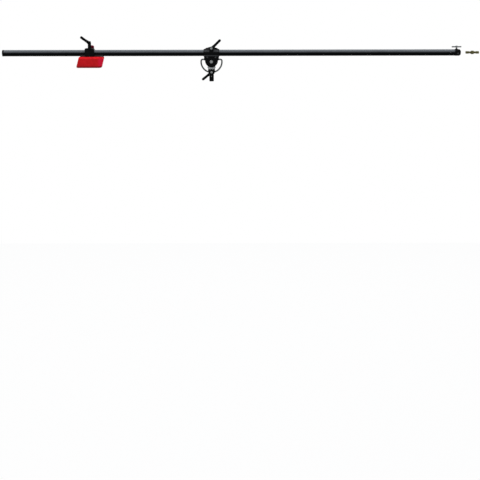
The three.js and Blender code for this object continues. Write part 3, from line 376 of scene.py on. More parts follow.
def mark_edges(made):
    """Stores how far each point stands out: less the mean, over its faces, of the slope from the
    point to the face's middle along the point's normal. It is zero on a flat, positive on an
    outer edge and negative in a corner."""
    mesh = made.data
    points, normals = read(mesh.vertices, "co"), read(mesh.vertices, "normal")
    sizes = read(mesh.polygons, "loop_total", np.int32)
    corner = read(mesh.loops, "vertex_index", np.int32)
    face = np.repeat(np.arange(len(sizes)), sizes)
    slope = read(mesh.polygons, "center")[face] - points[corner]
    slope /= np.maximum(np.linalg.norm(slope, axis=1, keepdims=True), 1e-9)
    rise = np.einsum("ij,ij->i", slope, normals[corner])
    count = np.bincount(corner, minlength=len(points))
    stand = -np.bincount(corner, rise, minlength=len(points)) / np.maximum(count, 1)
    layer = mesh.attributes.new("edge", "FLOAT", "POINT")
    layer.data.foreach_set("value", stand.astype(np.float32))


def eased(made, width, segments):
    """Rounds the sharp edges by a width, keeps the flats flat in the shading and marks the edges
    for the finish."""
    mesh = made.data
    work = bmesh.new()
    work.from_mesh(mesh)
    bmesh.ops.remove_doubles(work, verts=work.verts, dist=2e-6)
    if width:
        bmesh.ops.dissolve_limit(
            work, angle_limit=math.radians(0.6), verts=work.verts, edges=work.edges
        )
    work.to_mesh(mesh)
    work.free()
    if width:
        step = made.modifiers.new("edges", "BEVEL")
        step.width = width
        step.segments = segments
        step.limit_method = "ANGLE"
        step.angle_limit = math.radians(32)
        step.use_clamp_overlap = True
        settled(made)
    mark_edges(made)
    made.data.shade_smooth()
    made.data.set_sharp_from_angle(angle=math.radians(40))
    if width:
        weigh = made.modifiers.new("normals", "WEIGHTED_NORMAL")
        weigh.weight = 60
        weigh.keep_sharp = True
        settled(made)


# Finishes

class Value:
    """A socket of a material, on which arithmetic adds Math nodes."""

    def __init__(self, finish, socket):
        self.finish, self.socket = finish, socket

    def math(self, operation, first, second):
        return self.finish.node("ShaderNodeMath", {"operation": operation}, {0: first, 1: second})

    def __add__(self, other):
        return self.math("ADD", self, other)

    def __sub__(self, other):
        return self.math("SUBTRACT", self, other)

    def __rsub__(self, other):
        return self.math("SUBTRACT", other, self)

    def __mul__(self, other):
        return self.math("MULTIPLY", self, other)

    __radd__ = __add__
    __rmul__ = __mul__

    def between(self, low, high, start=0.0, end=1.0):
        """The value read smoothly from one range into another, and held at its ends."""
        return self.finish.node(
            "ShaderNodeMapRange",
            {"interpolation_type": "SMOOTHSTEP"},
            {"Value": self, 1: low, 2: high, 3: start, 4: end},
        )


class Finish:
    """A material's node tree, with one method that adds any node."""

    def __init__(self, name, roughness=0.5, metallic=0.0, specular=0.5):
        self.material = bpy.data.materials.new(name)
        self.material.use_nodes = True
        self.tree = self.material.node_tree
        self.shader = self.tree.nodes["Principled BSDF"]
        self.shader.inputs["Roughness"].default_value = roughness
        self.shader.inputs["Metallic"].default_value = metallic
        self.shader.inputs["Specular IOR Level"].default_value = specular
        self.place = self.node("ShaderNodeTexCoord", output="Object")

    def node(self, kind, settings=None, inputs=None, output=0):
        made = self.tree.nodes.new(kind)
        for key, value in (settings or {}).items():
            setattr(made, key, value)
        for key, value in (inputs or {}).items():
            self.feed(made.inputs[key], value)
        return Value(self, made.outputs[output])

    def feed(self, socket, value):
        if isinstance(value, Value):
            self.tree.links.new(value.socket, socket)
        elif hasattr(socket.default_value, "__len__"):
            size = len(socket.default_value)
            socket.default_value = (*value, 1)[:size] if size == 4 else value
        else:
            socket.default_value = value

    def noise(self, size, detail=3.0, roughness=0.5, stretch=(1, 1, 1)):
        """Noise whose features are about a size in metres, drawn out along the axes."""
        place = self.node("ShaderNodeVectorMath", {"operation": "DIVIDE"},
                          {0: self.place, 1: stretch})
        return self.node("ShaderNodeTexNoise", {}, {
            "Vector": place, "Scale": 1 / size, "Detail": detail, "Roughness": roughness})

    def specks(self, size):
        """The distance to the nearest of a scatter of points a size apart."""
        return self.node("ShaderNodeTexVoronoi", {}, {"Vector": self.place, "Scale": 1 / size},
                         "Distance")

    def axes(self):
        """The place's three numbers."""
        split = self.node("ShaderNodeSeparateXYZ", {}, {0: self.place})
        return [Value(self, split.socket.node.outputs[k]) for k in range(3)]

    def edge(self):
        """How far the surface stands out at its edges."""
        return self.node("ShaderNodeAttribute", {"attribute_name": "edge"}, output="Fac")

    def blend(self, share, first, second):
        """One colour laid over another by a share."""
        return self.node("ShaderNodeMix", {"data_type": "RGBA"}, {0: share, 6: first, 7: second}, 2)

    def relief(self, height, distance, strength):
        """Bump from a height, with the depth in metres of its full range."""
        return self.node("ShaderNodeBump", {},
                         {"Height": height, "Distance": distance, "Strength": strength})

    def done(self, colour, roughness, normal):
        """The material, with what changes over it fed into its shader."""
        for socket, value in (("Base Color", colour), ("Roughness", roughness), ("Normal", normal)):
            if value is not None:
                self.feed(self.shader.inputs[socket], value)
        return self.material


def scaled(colour, factor):
    """A lighter or darker colour."""
    return [c * factor for c in colour]


def cast_paint(name, colour, bare, roughness=0.42, specular=0.02, grain=0.9 * MM, wear=0.5,
               dust=0.012, painted_light_bands=()):
    """Satin paint over a casting: a fine orange peel over the casting's slower swell, a little
    dust, and edges rubbed towards the bare metal in patches. Each band is a colour and its ranges,
    each the number of an axis and two places along it, between which the paint passes over into
    the band's colour. Where a band has several ranges, its share is their product. The bands are
    painted light and shade: lighter or darker colour laid where light falls or shade lies."""
    f = Finish(name, roughness, 0.0, specular)
    peel = f.noise(grain, 2.0)
    swell = f.noise(14 * MM, 3.0)
    patches = f.noise(9 * MM, 4.0, 0.65)
    rub = (f.edge() * 3.0 + (patches - 0.5) * 1.4).between(0.6, 1.0, 0.0, wear)
    film = f.noise(45 * MM, 5.0, 0.6).between(0.45, 0.75)
    shade = f.blend(swell.between(0.3, 0.7), scaled(colour, 0.9), scaled(colour, 1.08))
    place = f.axes()
    # Painted light and shade: each band lays a lighter or darker colour where light falls or shade
    # lies.
    for tint, *ranges in painted_light_bands:
        share = math.prod((place[axis] + (patches - 0.5) * 0.004).between(start, end)
                          for axis, start, end in ranges)
        shade = f.blend(share, shade, tint)
    # Dust laid over the paint and its painted light and shade.
    painted_light_and_dust = f.blend(film * dust, shade, [0.5 * c + 0.09 for c in colour])
    worn = f.blend(rub, painted_light_and_dust, bare)
    return f.done(
        worn,
        (swell.between(0.25, 0.75, roughness - 0.05, roughness + 0.08) + film * 0.08),
        f.relief(peel * 0.5 + swell, 0.0004, 0.45),
    )


def drawn_tube(name, colour, painted_sheen, height):
    """A satin black drawn tube: fine lines along it, patches of rubbing, faint smudges, and a
    painted
    sheen: the upper side is laid over with a lighter grey, broken by streaks and smudges, that
    stands in for the reflection of the overhead light and ends in a soft edge along the tube's
    middle."""
    f = Finish(name, 0.3, 0.0, 0.02)
    _, _, z = f.axes()
    lines = f.noise(0.45 * MM, 3.0, 0.6, (400, 1, 1))
    smudge = f.noise(60 * MM, 4.0, 0.6, (2.5, 1, 1))
    scuffs = f.noise(1.1 * MM, 4.0, 0.7, (1, 9, 9)).between(0.6, 0.78)
    gripped = f.noise(160 * MM, 2.0, 0.5, (1, 6, 6)).between(0.48, 0.66)
    rubbed = scuffs * gripped
    # Painted reflection: above the tube's middle the colour passes over into the painted sheen. It
    # is fuller towards the top (crest) and broken by smudges and streaks.
    above = (z - height + (smudge - 0.5) * 0.002).between(-0.002, 0.009)
    crest = (z - height).between(0.006, 0.018, 0.62, 1.0)
    shade = f.blend(smudge.between(0.3, 0.7), scaled(colour, 0.85), scaled(colour, 1.2))
    streaks = f.noise(1.6 * MM, 4.0, 0.65, (260, 1, 1)).between(0.36, 0.64, 0.84, 1.0)
    painted_light_and_dust = f.blend(above * crest * smudge.between(0.25, 0.75, 0.88, 1.0) * streaks, shade, painted_sheen)
    worn = f.blend(rubbed * 0.1, painted_light_and_dust, [0.1, 0.102, 0.105])
    roughness = smudge.between(0.25, 0.75, 0.26, 0.36) + lines * 0.06 + rubbed * 0.1
    return f.done(worn, roughness, f.relief(lines, 0.00002, 0.3))


def moulded(name, colour, roughness=0.5):
    """Moulded plastic: a fine even grain, polished where it is held."""
    f = Finish(name, roughness, 0.0, 0.03)
    grain = f.specks(0.7 * MM)
    handled = f.noise(22 * MM, 3.0)
    shade = f.blend(handled.between(0.3, 0.7), scaled(colour, 0.85), scaled(colour, 1.2))
    rim = f.edge().between(0.12, 0.35, 0.0, 0.25)
    worn = f.blend(rim, shade, [c * 1.6 + 0.006 for c in colour])
    return f.done(
        worn, handled.between(0.3, 0.7, roughness - 0.1, roughness + 0.06),
        f.relief(grain, 0.0001, 0.4)
    )


def plated(name, colour, roughness=0.22, lines=(1, 1, 1), tarnish=0.25, spots=(0.09, 0.08, 0.07)):
    """Bright metal: lines left by turning or rolling, cloudy tarnish and a few dark spots."""
    f = Finish(name, roughness, 1.0)
    cut_lines = f.noise(0.35 * MM, 2.0, 0.5, lines)
    cloud = f.noise(16 * MM, 4.0, 0.6)
    spot = f.noise(2.2 * MM, 3.0, 0.7).between(0.66, 0.76, 0.0, 0.6)
    shade = f.blend(cloud.between(0.4, 0.75, 0.0, tarnish), colour, scaled(colour, 0.55))
    spotted = f.blend(spot * cloud, shade, list(spots))
    return f.done(
        spotted,
        cloud.between(0.35, 0.7, roughness, roughness + 0.16) + cut_lines * 0.08,
        f.relief(cut_lines, 0.00003, 0.5),
    )


def bare_alloy(name, colour):
    """Bare cast alloy: a dull, lightly pitted skin with machined lines across it."""
    f = Finish(name, 0.45, 0.9)
    mill = f.noise(0.8 * MM, 2.0, 0.5, (1, 40, 12))
    pits = f.specks(1.4 * MM).between(0.0, 0.22)
    cloud = f.noise(13 * MM, 5.0, 0.65)
    shade = f.blend(cloud.between(0.36, 0.64), scaled(colour, 0.62), scaled(colour, 1.14))
    lined = f.blend(mill.between(0.35, 0.65, 0.0, 0.4), shade, scaled(colour, 0.55))
    dark = f.blend((1 - pits) * 0.5, lined, scaled(colour, 0.35))
    return f.done(
        dark, cloud.between(0.3, 0.7, 0.4, 0.6), f.relief(mill * 0.4 + pits * 0.6, 0.00012, 0.8)
    )


def pressed_fibre(name, colour):
    """Pressed friction fibre: short strands and flecks in a dark binder."""
    f = Finish(name, 0.85, 0.0, 0.3)
    strands = f.noise(0.8 * MM, 4.0, 0.7, (5, 1, 1))
    flecks = f.specks(1.4 * MM).between(0.05, 0.3)
    shade = f.blend(strands.between(0.35, 0.65), scaled(colour, 0.6), scaled(colour, 1.5))
    flecked = f.blend((1 - flecks) * 0.4, shade, [0.2, 0.17, 0.09])
    return f.done(flecked, None, f.relief(strands, 0.0001, 0.6))


def moulded_rubber(name, colour):
    """Moulded rubber: matt, with a fine stipple and a bloom of dust."""
    f = Finish(name, 0.8, 0.0, 0.35)
    stipple = f.specks(0.6 * MM)
    bloom = f.noise(12 * MM, 4.0, 0.6).between(0.4, 0.75, 0.0, 0.35)
    return f.done(
        f.blend(bloom, colour, [0.035, 0.035, 0.036]), None, f.relief(stipple, 0.00012, 0.5)
    )


class FinishSettings(bpy.types.PropertyGroup):
    casting: tone("Castings", (0.0028, 0.0032, 0.0034), "Paint of the head's castings")
    tube: tone("Tube", (0.0012, 0.0015, 0.0018), "Finish of the boom tube")
    # Colour of the painted sheen on the tube's upper side, a painted reflection of the overhead
    # light
    painted_sheen: tone("Painted tube sheen", (0.196, 0.212, 0.226), "Upper side of the boom tube")
    plastic: tone("Plastic", (0.0022, 0.0025, 0.0027), "Levers, liner and end cap")
    screw: tone("Black screws", (0.05, 0.053, 0.055), "Blackened screws")
    steel: tone("Bright steel", (0.187, 0.196, 0.198), "Plated steel of the bolts")
    bar: tone("Steel bar", (0.1, 0.108, 0.108), "Plated steel of the arc rod and the T-bar")
    spring: tone("Spring steel", (0.18, 0.185, 0.19), "Pins and springs")
    alloy: tone("Grey alloy", (0.335, 0.352, 0.357), "Bare metal of the yoke")
    red: tone("Red paint", (0.56, 0.0088, 0.0125), "Paint of the counterweight")
    brass: tone("Brass", (0.085, 0.079, 0.034), "Spigot and lock pad")
    fibre: tone("Fibre", (0.07, 0.044, 0.026), "Friction discs")
    rubber: tone("Rubber", (0.006, 0.006, 0.0065), "Saddle pad")


FINISHES = {}


class BOOM_OT_finishes(bpy.types.Operator):
    """Make the finishes and put them on the frame's own nodes"""

    bl_idname = "boom.finishes"
    bl_label = "Finishes"

    def execute(self, context):
        s = context.scene.boom_finishes
        black, red = list(s.casting), list(s.red)
        axis, foot = middle("boom_tube").z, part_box("counterweight")[0].z
        crown, front = foot + 69.5 * MM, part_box("counterweight")[1].x
        FINISHES.update(
            black_casting=cast_paint(
                "Black casting paint", black, [0.18, 0.18, 0.18], specular=0.03, wear=0.36, painted_light_bands=[
                    # Painted highlights: a lighter grey patch on each side of the grip's upper
                    # face, 3 to 23 mm above the boom's axis, where the overhead light falls.
                    *[([0.05, 0.053, 0.055], (2, axis + 3 * MM, axis + 8 * MM),
                       (2, axis + 23 * MM, axis + 14 * MM), (0, side * 11 * MM, side * 18 * MM),
                       (0, side * 60 * MM, side * 54 * MM)) for side in (-1, 1)],
                    # Painted highlight: a lighter grey line along the head, 16 to 19 mm below the
                    # boom's axis, where the grip meets the flange.
                    ([0.04, 0.042, 0.044], (2, axis - 13.5 * MM, axis - 16 * MM),
                     (2, axis - 22.5 * MM, axis - 19 * MM), (0, -60 * MM, -54 * MM),
                     (0, 60 * MM, 54 * MM)),
                ]
            ),
            black_stud=cast_paint("Black stud", black, [0.16, 0.16, 0.16], 0.34, wear=0.4),
            black_tube=drawn_tube("Satin black tube", list(s.tube), list(s.painted_sheen), axis),
            black_plastic=moulded("Black plastic", list(s.plastic)),
            black_screw=plated("Blackened screw", list(s.screw), 0.4, (1, 1, 8)),
            bright_steel=plated("Bright steel", list(s.steel), 0.2),
            steel_bar=plated("Steel bar", list(s.bar), 0.3),
            spring_steel=plated("Spring steel", list(s.spring), 0.3),
            grey_alloy=bare_alloy("Bare grey alloy", list(s.alloy)),
            red_paint=cast_paint(
                "Red casting paint", red, [0.05, 0.02, 0.02], 0.4, 0.05, 1.1 * MM, 0.4, 0.02, [
                    # Painted light: the front facets are lighter and pinker, as if lit from the
                    # front right.
                    ([red[0] * 1.25, red[1], red[2] * 3], (0, front - 40 * MM, front - 28 * MM)),
                    # Painted light: a lighter band along the top, where the overhead light falls.
                    (scaled(red, 1.6), (2, crown - 16 * MM, crown - 8 * MM)),
                    # Painted shade: darker along the foot.
                    (scaled(red, 0.42), (2, foot + 18 * MM, foot + 4 * MM)),
                    # Painted shade: dark maroon passing in from 10 mm below to 24 mm above the
                    # boom's axis, over the hinge lug, for the shade under the jaw and the lever.
                    ([0.13, 0.005, 0.018], (2, axis - 10 * MM, axis + 24 * MM)),
                    # The painted shade stops here: beyond 20 to 33 mm from the middle plane, the
                    # far side goes back to plain red.
                    (red, (1, 20 * MM, 33 * MM)),
                ]
            ),
            brass=plated("Turned brass", list(s.brass), 0.28, (6, 1, 1), 0.5, (0.06, 0.045, 0.02)),
            fibre=pressed_fibre("Friction fibre", list(s.fibre)),
            rubber=moulded_rubber("Moulded rubber", list(s.rubber)),
        )
        for part in frame["record"]["subparts"]:
            node = frame["nodes"][part["node"]]
            node.data.materials.clear()
            node.data.materials.append(FINISHES[part["material_slot"]])
        return {"FINISHED"}


# Pieces

BODY_OF = {
    node: body for body, nodes in frame["record"]["behaviour"]["bodies"].items() for node in nodes
}
SLOT_OF = {part["node"]: part["material_slot"] for part in frame["record"]["subparts"]}


def given(made, node, width=0.0, segments=3, finish=None):
    """Finishes a piece, with the body and the slot of the frame node that it stands for."""
    made.name = node + "_finished"
    eased(made, width, segments)
    slot = SLOT_OF[node]
    made.data.materials.clear()
    made.data.materials.append(FINISHES[finish or slot])
    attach(made, BODY_OF[node])
    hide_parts(node)


def rod(radius, start, end, facing="up", place=(0, 0, 0), edge=0.0, sides=48):
    """A round bar with its two rims taken off at a slant."""
    rows = [(start, radius), (end, radius)]
    if edge:
        rows = [(start, radius - edge), (start + edge, radius),
                (end - edge, radius), (end, radius - edge)]
    return spun("Rod", rows, facing, place, sides)


def ring(inner, outer, start, end, facing, place):
    """A flat ring with its four rims taken off at a slant."""
    edge = 0.3 * MM
    rows = [(start, inner + edge), (start, outer - edge), (start + edge, outer),
            (end - edge, outer), (end, outer - edge), (end, inner + edge),
            (end - edge, inner), (start + edge, inner)]
    return spun("Ring", rows, facing, place, 96, wrapped=True)


def block(x, y, z):
    """A plain box between two numbers along each axis."""
    outline = np.array([[x[0], z[0]], [x[1], z[0]], [x[1], z[1]], [x[0], z[1]]])
    return slab("Block", outline, -y[1], -y[0])


def rectangle(x, z, reach, steps):
    """A rectangle's outline between two numbers along X and Z, with its corners eased, from the
    lower rear one round to the upper rear one."""
    corners = [(x[0], z[0]), (x[1], z[0]), (x[1], z[1]), (x[0], z[1])]
    return softened(corners, reach, steps, closed=True)


def trimmed(made, x, z, reach, steps):
    """A piece cut down to what lies within such a rectangle."""
    face = slab("Face", rectangle(x, z, reach, steps), -80 * MM, 80 * MM)
    return combined(made, [face], "INTERSECT")


def both_ways(rows):
    """The rows of one half of a turned form, after their mirror images."""
    return [(-row[0], *row[1:]) for row in reversed(rows)] + rows


def across_holes(radius, reach, *names):
    """Cutters for pins that run across the part, past a reach on both sides."""
    return [rod(radius, -reach - MM, reach + MM, "far", (middle(n).x, 0, middle(n).z))
            for n in names]


def prism(radius, start, end, facing, place):
    """A hexagonal prism, for the sockets of screws."""
    return slab("Prism", circle_outline(0, 0, radius, 6), start, end, 0.0, facing, place)


def crowned(across, top, out=1):
    """The rows up to a hexagon's face, whose corners a cone takes off: from the corners in to 0.47
    of the width across the flats, it climbs 0.55 of its inward run."""
    radius = np.linspace(across / math.sqrt(3), 0.47 * across, 6)
    rows = [(top - out * 0.55 * (r - radius[-1]), r, across) for r in radius]
    return [*rows, (top, 0.44 * across, across)][::out]


def hexagon_rows(across, height):
    """The rows of a hexagon head that stands on a washer face."""
    corner = across / math.sqrt(3)
    flat = 0.4 * MM
    return [
        (0, 0.475 * across, across), (flat, 0.475 * across, across),
        (flat, corner * 0.985, across), (flat + 0.3 * MM, corner, across),
        *crowned(across, height),
    ]


def bolt(across, height, radius, reach, facing, place, threads=0.0, pitch=1.5 * MM):
    """A hexagon bolt whose head stands on its seat, with thread over the last of its reach."""
    core = radius - 0.6 * pitch if threads else radius
    rows = [(-reach, core - 0.5 * MM), (-reach + 0.5 * MM, core)]
    if threads:
        rows += [(threads - reach, core), (threads - reach + pitch, radius)]
    rows += [(-0.4 * MM, radius), (0, radius + 0.3 * MM), *hexagon_rows(across, height)]
    made = spun("Bolt", rows, facing, place, 72)
    if threads:
        gathered(made, threaded("Thread", radius, pitch, -reach + 0.5 * MM,
                                threads - reach + pitch, facing, place))
    return made


def nut(across, height, bore, facing, place):
    """A hexagon nut with both of its faces chamfered, and a countersunk bore."""
    rows = [
        (0, bore + 0.6 * MM), *crowned(across, 0, -1), *crowned(across, height),
        (height, bore + 0.6 * MM), (height - 0.6 * MM, bore), (0.6 * MM, bore),
    ]
    return spun("Nut", rows, facing, place, 72, wrapped=True)


def fitted_bolt(name, seat, radius, threads, pitch):
    """The bolt of a frame node, from the near side, with its head on a seat."""
    low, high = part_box(name)
    given(bolt(high.z - low.z, seat - low.y, radius, high.y - seat, "near",
               (0, seat, middle(name).z), threads, pitch), name)


def fitted_nut(name, bore):
    """The nut of a frame node, which faces the far side."""
    low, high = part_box(name)
    given(nut(high.z - low.z, high.y - low.y, bore, "far",
              (middle(name).x, low.y, middle(name).z)), name)


def socket_head(radius, height, shank, reach, socket, facing, place, pitch=1.0 * MM):
    """A screw with a round head, which has a hexagon socket."""
    core = shank - 0.6 * pitch
    rows = [(-reach, core - 0.4 * MM), (-reach + 0.4 * MM, core), (0, core), (0, radius - 0.2 * MM),
            (0.2 * MM, radius), (height - 0.5 * MM, radius), (height, radius - 0.5 * MM)]
    made = cut(spun("Screw", rows, facing, place, 64),
               prism(socket / math.sqrt(3), 0.45 * height, height + MM, facing, place))
    return gathered(made, threaded("Thread", shank, pitch, -reach + 0.4 * MM, 0.5 * pitch,
                                   facing, place, 24))


def arc_points(radius, start, end, count):
    """Points of an arc in the XZ plane about the pivot, with angles from straight down."""
    angle = np.radians(np.linspace(start, end, count))
    return np.stack([radius * np.sin(angle), 0 * angle, -radius * np.cos(angle)], axis=1)


# Stand side

class StandSettings(bpy.types.PropertyGroup):
    stud_chamfer: length("Stud chamfer", 3.2 * MM, "At the foot of the stud")
    stud_bore: length("Stud bore", 9 * MM, "Radius of the stud's bore")
    lock_top: length("Lock body top", 23 * MM, "Half of its length at the top")
    lock_foot: length("Lock body foot", 18 * MM, "Half of its length at the foot")
    lock_corner: length("Lock body corner", 4 * MM, "How far its corners are eased")
    arc_radius: length("Arc radius", 66 * MM, "Of the arc rod's middle line")
    channel: length("Channel", 5.5 * MM, "Radius of the arc rod's channel")
    yoke_neck: length("Yoke neck", 21.5 * MM, "Half of its length")
    tenon: length("Tenon", 16 * MM, "Half of its length")
    tenon_depth: length("Tenon depth", 7.7 * MM, "Into the lock body")
    pivot_bolt: length("Pivot bolt", 6 * MM, "Radius of its shank")
    anvil_bolt: length("Anvil bolt", 5 * MM, "Radius of its shank")


class BOOM_OT_stand(bpy.types.Operator):
    """Make the stud, lock body, yoke and the pivot's bolt, discs and washers"""

    bl_idname = "boom.stand"
    bl_label = "Stand side"

    def execute(self, context):
        s = context.scene.boom_stand
        pivot = (0, 0, middle("pivot_washer_near").z)
        rod_height = middle("anvil_bolt").z
        low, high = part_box("stud")
        radius, top = high.x, high.z
        pin = middle("stud_pin").z

        c = s.stud_chamfer
        foot = softened([(0, radius - c - 4 * MM), (0, radius - c), (c, radius),
                         (c + 5 * MM, radius)], 0.8 * MM, 4)
        stud = spun("Stud", [
            *foot, (top - 1.5 * MM, radius), (top - 0.6 * MM, radius - 0.4 * MM),
            (top, radius - 1.6 * MM), (top, s.stud_bore + 0.6 * MM), (top - 0.6 * MM, s.stud_bore),
            (14 * MM, s.stud_bore),
        ], sides=112)
        given(cut(stud, rod(PIN_HOLE, -radius - MM, radius + MM, "far", (0, 0, pin))), "stud",
              width=0.25 * MM, segments=2)

        low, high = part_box("lock_body")
        foot, top, deep = top + CLEAR, high.z, high.y
        outline = softened([(-s.lock_foot, foot), (s.lock_foot, foot), (s.lock_top, top),
                            (-s.lock_top, top)], s.lock_corner, 6, closed=True)
        lock = cast(slab("Lock body", outline, -deep, deep, 2.2 * MM), 0.6 * MM, 6)
        gathered(lock, rod(s.stud_bore - CLEAR, low.z, foot + 2 * MM, sides=64, edge=0.6 * MM))
        channel = arc_points(s.arc_radius, -24, 24, 40) + np.array(pivot)
        tenon = s.tenon + CLEAR
        yoke_pins = ("yoke_pin_rear", "yoke_pin_front")
        pins = across_holes(YOKE_PIN_HOLE, deep, *yoke_pins)
        slot = block((-tenon, tenon), (-8.3 * MM, 8.3 * MM),
                     (top - s.tenon_depth - CLEAR, top + MM))
        cut(lock, swept("Channel", channel, s.channel, 40), slot,
            rod(s.anvil_bolt + CLEAR, -deep - MM, deep + MM, "far", (0, 0, rod_height)), *pins)
        given(lock, "lock_body")

        low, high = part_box("yoke")
        half, wide = high.y, high.x
        disc = slab("Yoke", circle_outline(0, pivot[2], wide, 120), -half, half, MM)
        neck_foot = top + CLEAR
        flank = [(s.yoke_neck, neck_foot), (s.yoke_neck + 5.2 * MM, pivot[2] - 35 * MM),
                 (s.yoke_neck, pivot[2] - 22 * MM), (s.yoke_neck, pivot[2])]
        neck = slab("Neck", softened([*flank, *[(-x, z) for x, z in flank[::-1]]],
                                     2.5 * MM, 6, closed=True), -half, half, MM)
        yoke = cast(gathered(disc, neck), 0.6 * MM, 4)
        tenon = block((-s.tenon, s.tenon), (-half, half), (top - s.tenon_depth, neck_foot + 2 * MM))
        pins = across_holes(YOKE_PIN_HOLE, half, *yoke_pins)
        joined(yoke, tenon)
        cut(yoke, rod(s.pivot_bolt + CLEAR, -half - MM, half + MM, "far", pivot, sides=64), *pins)
        given(yoke, "yoke")

        for side in ("near", "far"):
            for kind, more in (("friction_disc", 0.0), ("pivot_washer", 0.3 * MM)):
                low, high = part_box(f"{kind}_{side}")
                start, end = sorted((abs(low.y), abs(high.y)))
                given(ring(s.pivot_bolt + CLEAR, high.x + more, start, end, side, pivot),
                      f"{kind}_{side}")

        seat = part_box("pivot_washer_near")[0].y - CLEAR
        fitted_bolt("pivot_bolt", seat, s.pivot_bolt, 18 * MM, 1.75 * MM)
        fitted_nut("pivot_nut", s.pivot_bolt + 0.1 * MM)
        fitted_bolt("anvil_bolt", -deep - CLEAR, s.anvil_bolt, 8 * MM, 1.25 * MM)
        low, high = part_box("lock_pad")
        given(rod((high.x - low.x) / 2, low.y, high.y, "far", (0, 0, rod_height), 0.5 * MM),
              "lock_pad")
        for name in ("stud_pin", *yoke_pins):
            across_pin(name)
        return {"FINISHED"}


def across_pin(name, axis="far", edge=0.4 * MM):
    """A plain pin in the place of the frame's own, with chamfered ends."""
    low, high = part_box(name)
    centre = (low + high) / 2
    if axis == "far":
        made = rod((high.z - low.z) / 2, low.y, high.y, axis, (centre.x, 0, centre.z), edge)
    else:
        made = rod((high.z - low.z) / 2, low.x, high.x, axis, (0, centre.y, centre.z), edge)
    given(made, name)


# Head

class HeadSettings(bpy.types.PropertyGroup):
    disc: length("Disc", 40.5 * MM, "Radius of the cheeks' lower disc")
    disc_lift: length("Disc lift", 6.6 * MM, "Of its middle above the pivot")
    ledge: length("Ledge", 40 * MM, "From the pivot up to the ledge under the tube")
    skirt: length("Skirt", 12.5 * MM, "From the pivot up to the wide part's underside")
    inner: length("Inner face", 11 * MM, "From the middle plane")
    outer: length("Outer face", 26 * MM, "From the middle plane")
    dish: length("Dish", 30 * MM, "Radius of the dish in each cheek")
    dish_depth: length("Dish depth", 3 * MM, "Of the dish")
    boss: length("Pivot boss", 15 * MM, "Radius of the boss in the dish")
    grip: length("Grip", 29.5 * MM, "Outer radius round the tube")
    bore: length("Grip bore", 22.1 * MM, "Radius of the grip's bore")
    taper: length("Grip taper", 18 * MM, "Length of the taper at each end of the grip")
    mouth: length("Grip mouth", 24.3 * MM, "Outer radius at the grip's ends")
    shoulder: length("Shoulder", 32.5 * MM, "From the boom's axis up to the shoulders")
    corner: length("Shoulder corner", 22 * MM, "Radius of the shoulders' corners")
    clamp_boss: length("Clamp boss", 12 * MM, "Radius of the clamp bolt's boss")
    clamp_reach: length("Clamp reach", 26 * MM, "From the middle plane to the boss's face")
    screw_boss: length("Screw boss", 7.8 * MM, "Radius of the rims of the cross screws")
    liner_boss: length("Liner boss", 7 * MM, "Radius of the liner screws' bosses")
    arc_end: length("Arc end", 15.5 * MM, "Height of the arc rod's ends above the pivot")
    seat: length("Arc seat", 5.3 * MM, "Radius of the seats of the arc rod's ends")
    arc_bend: length("Arc bend", 12 * MM, "How far its bends reach")


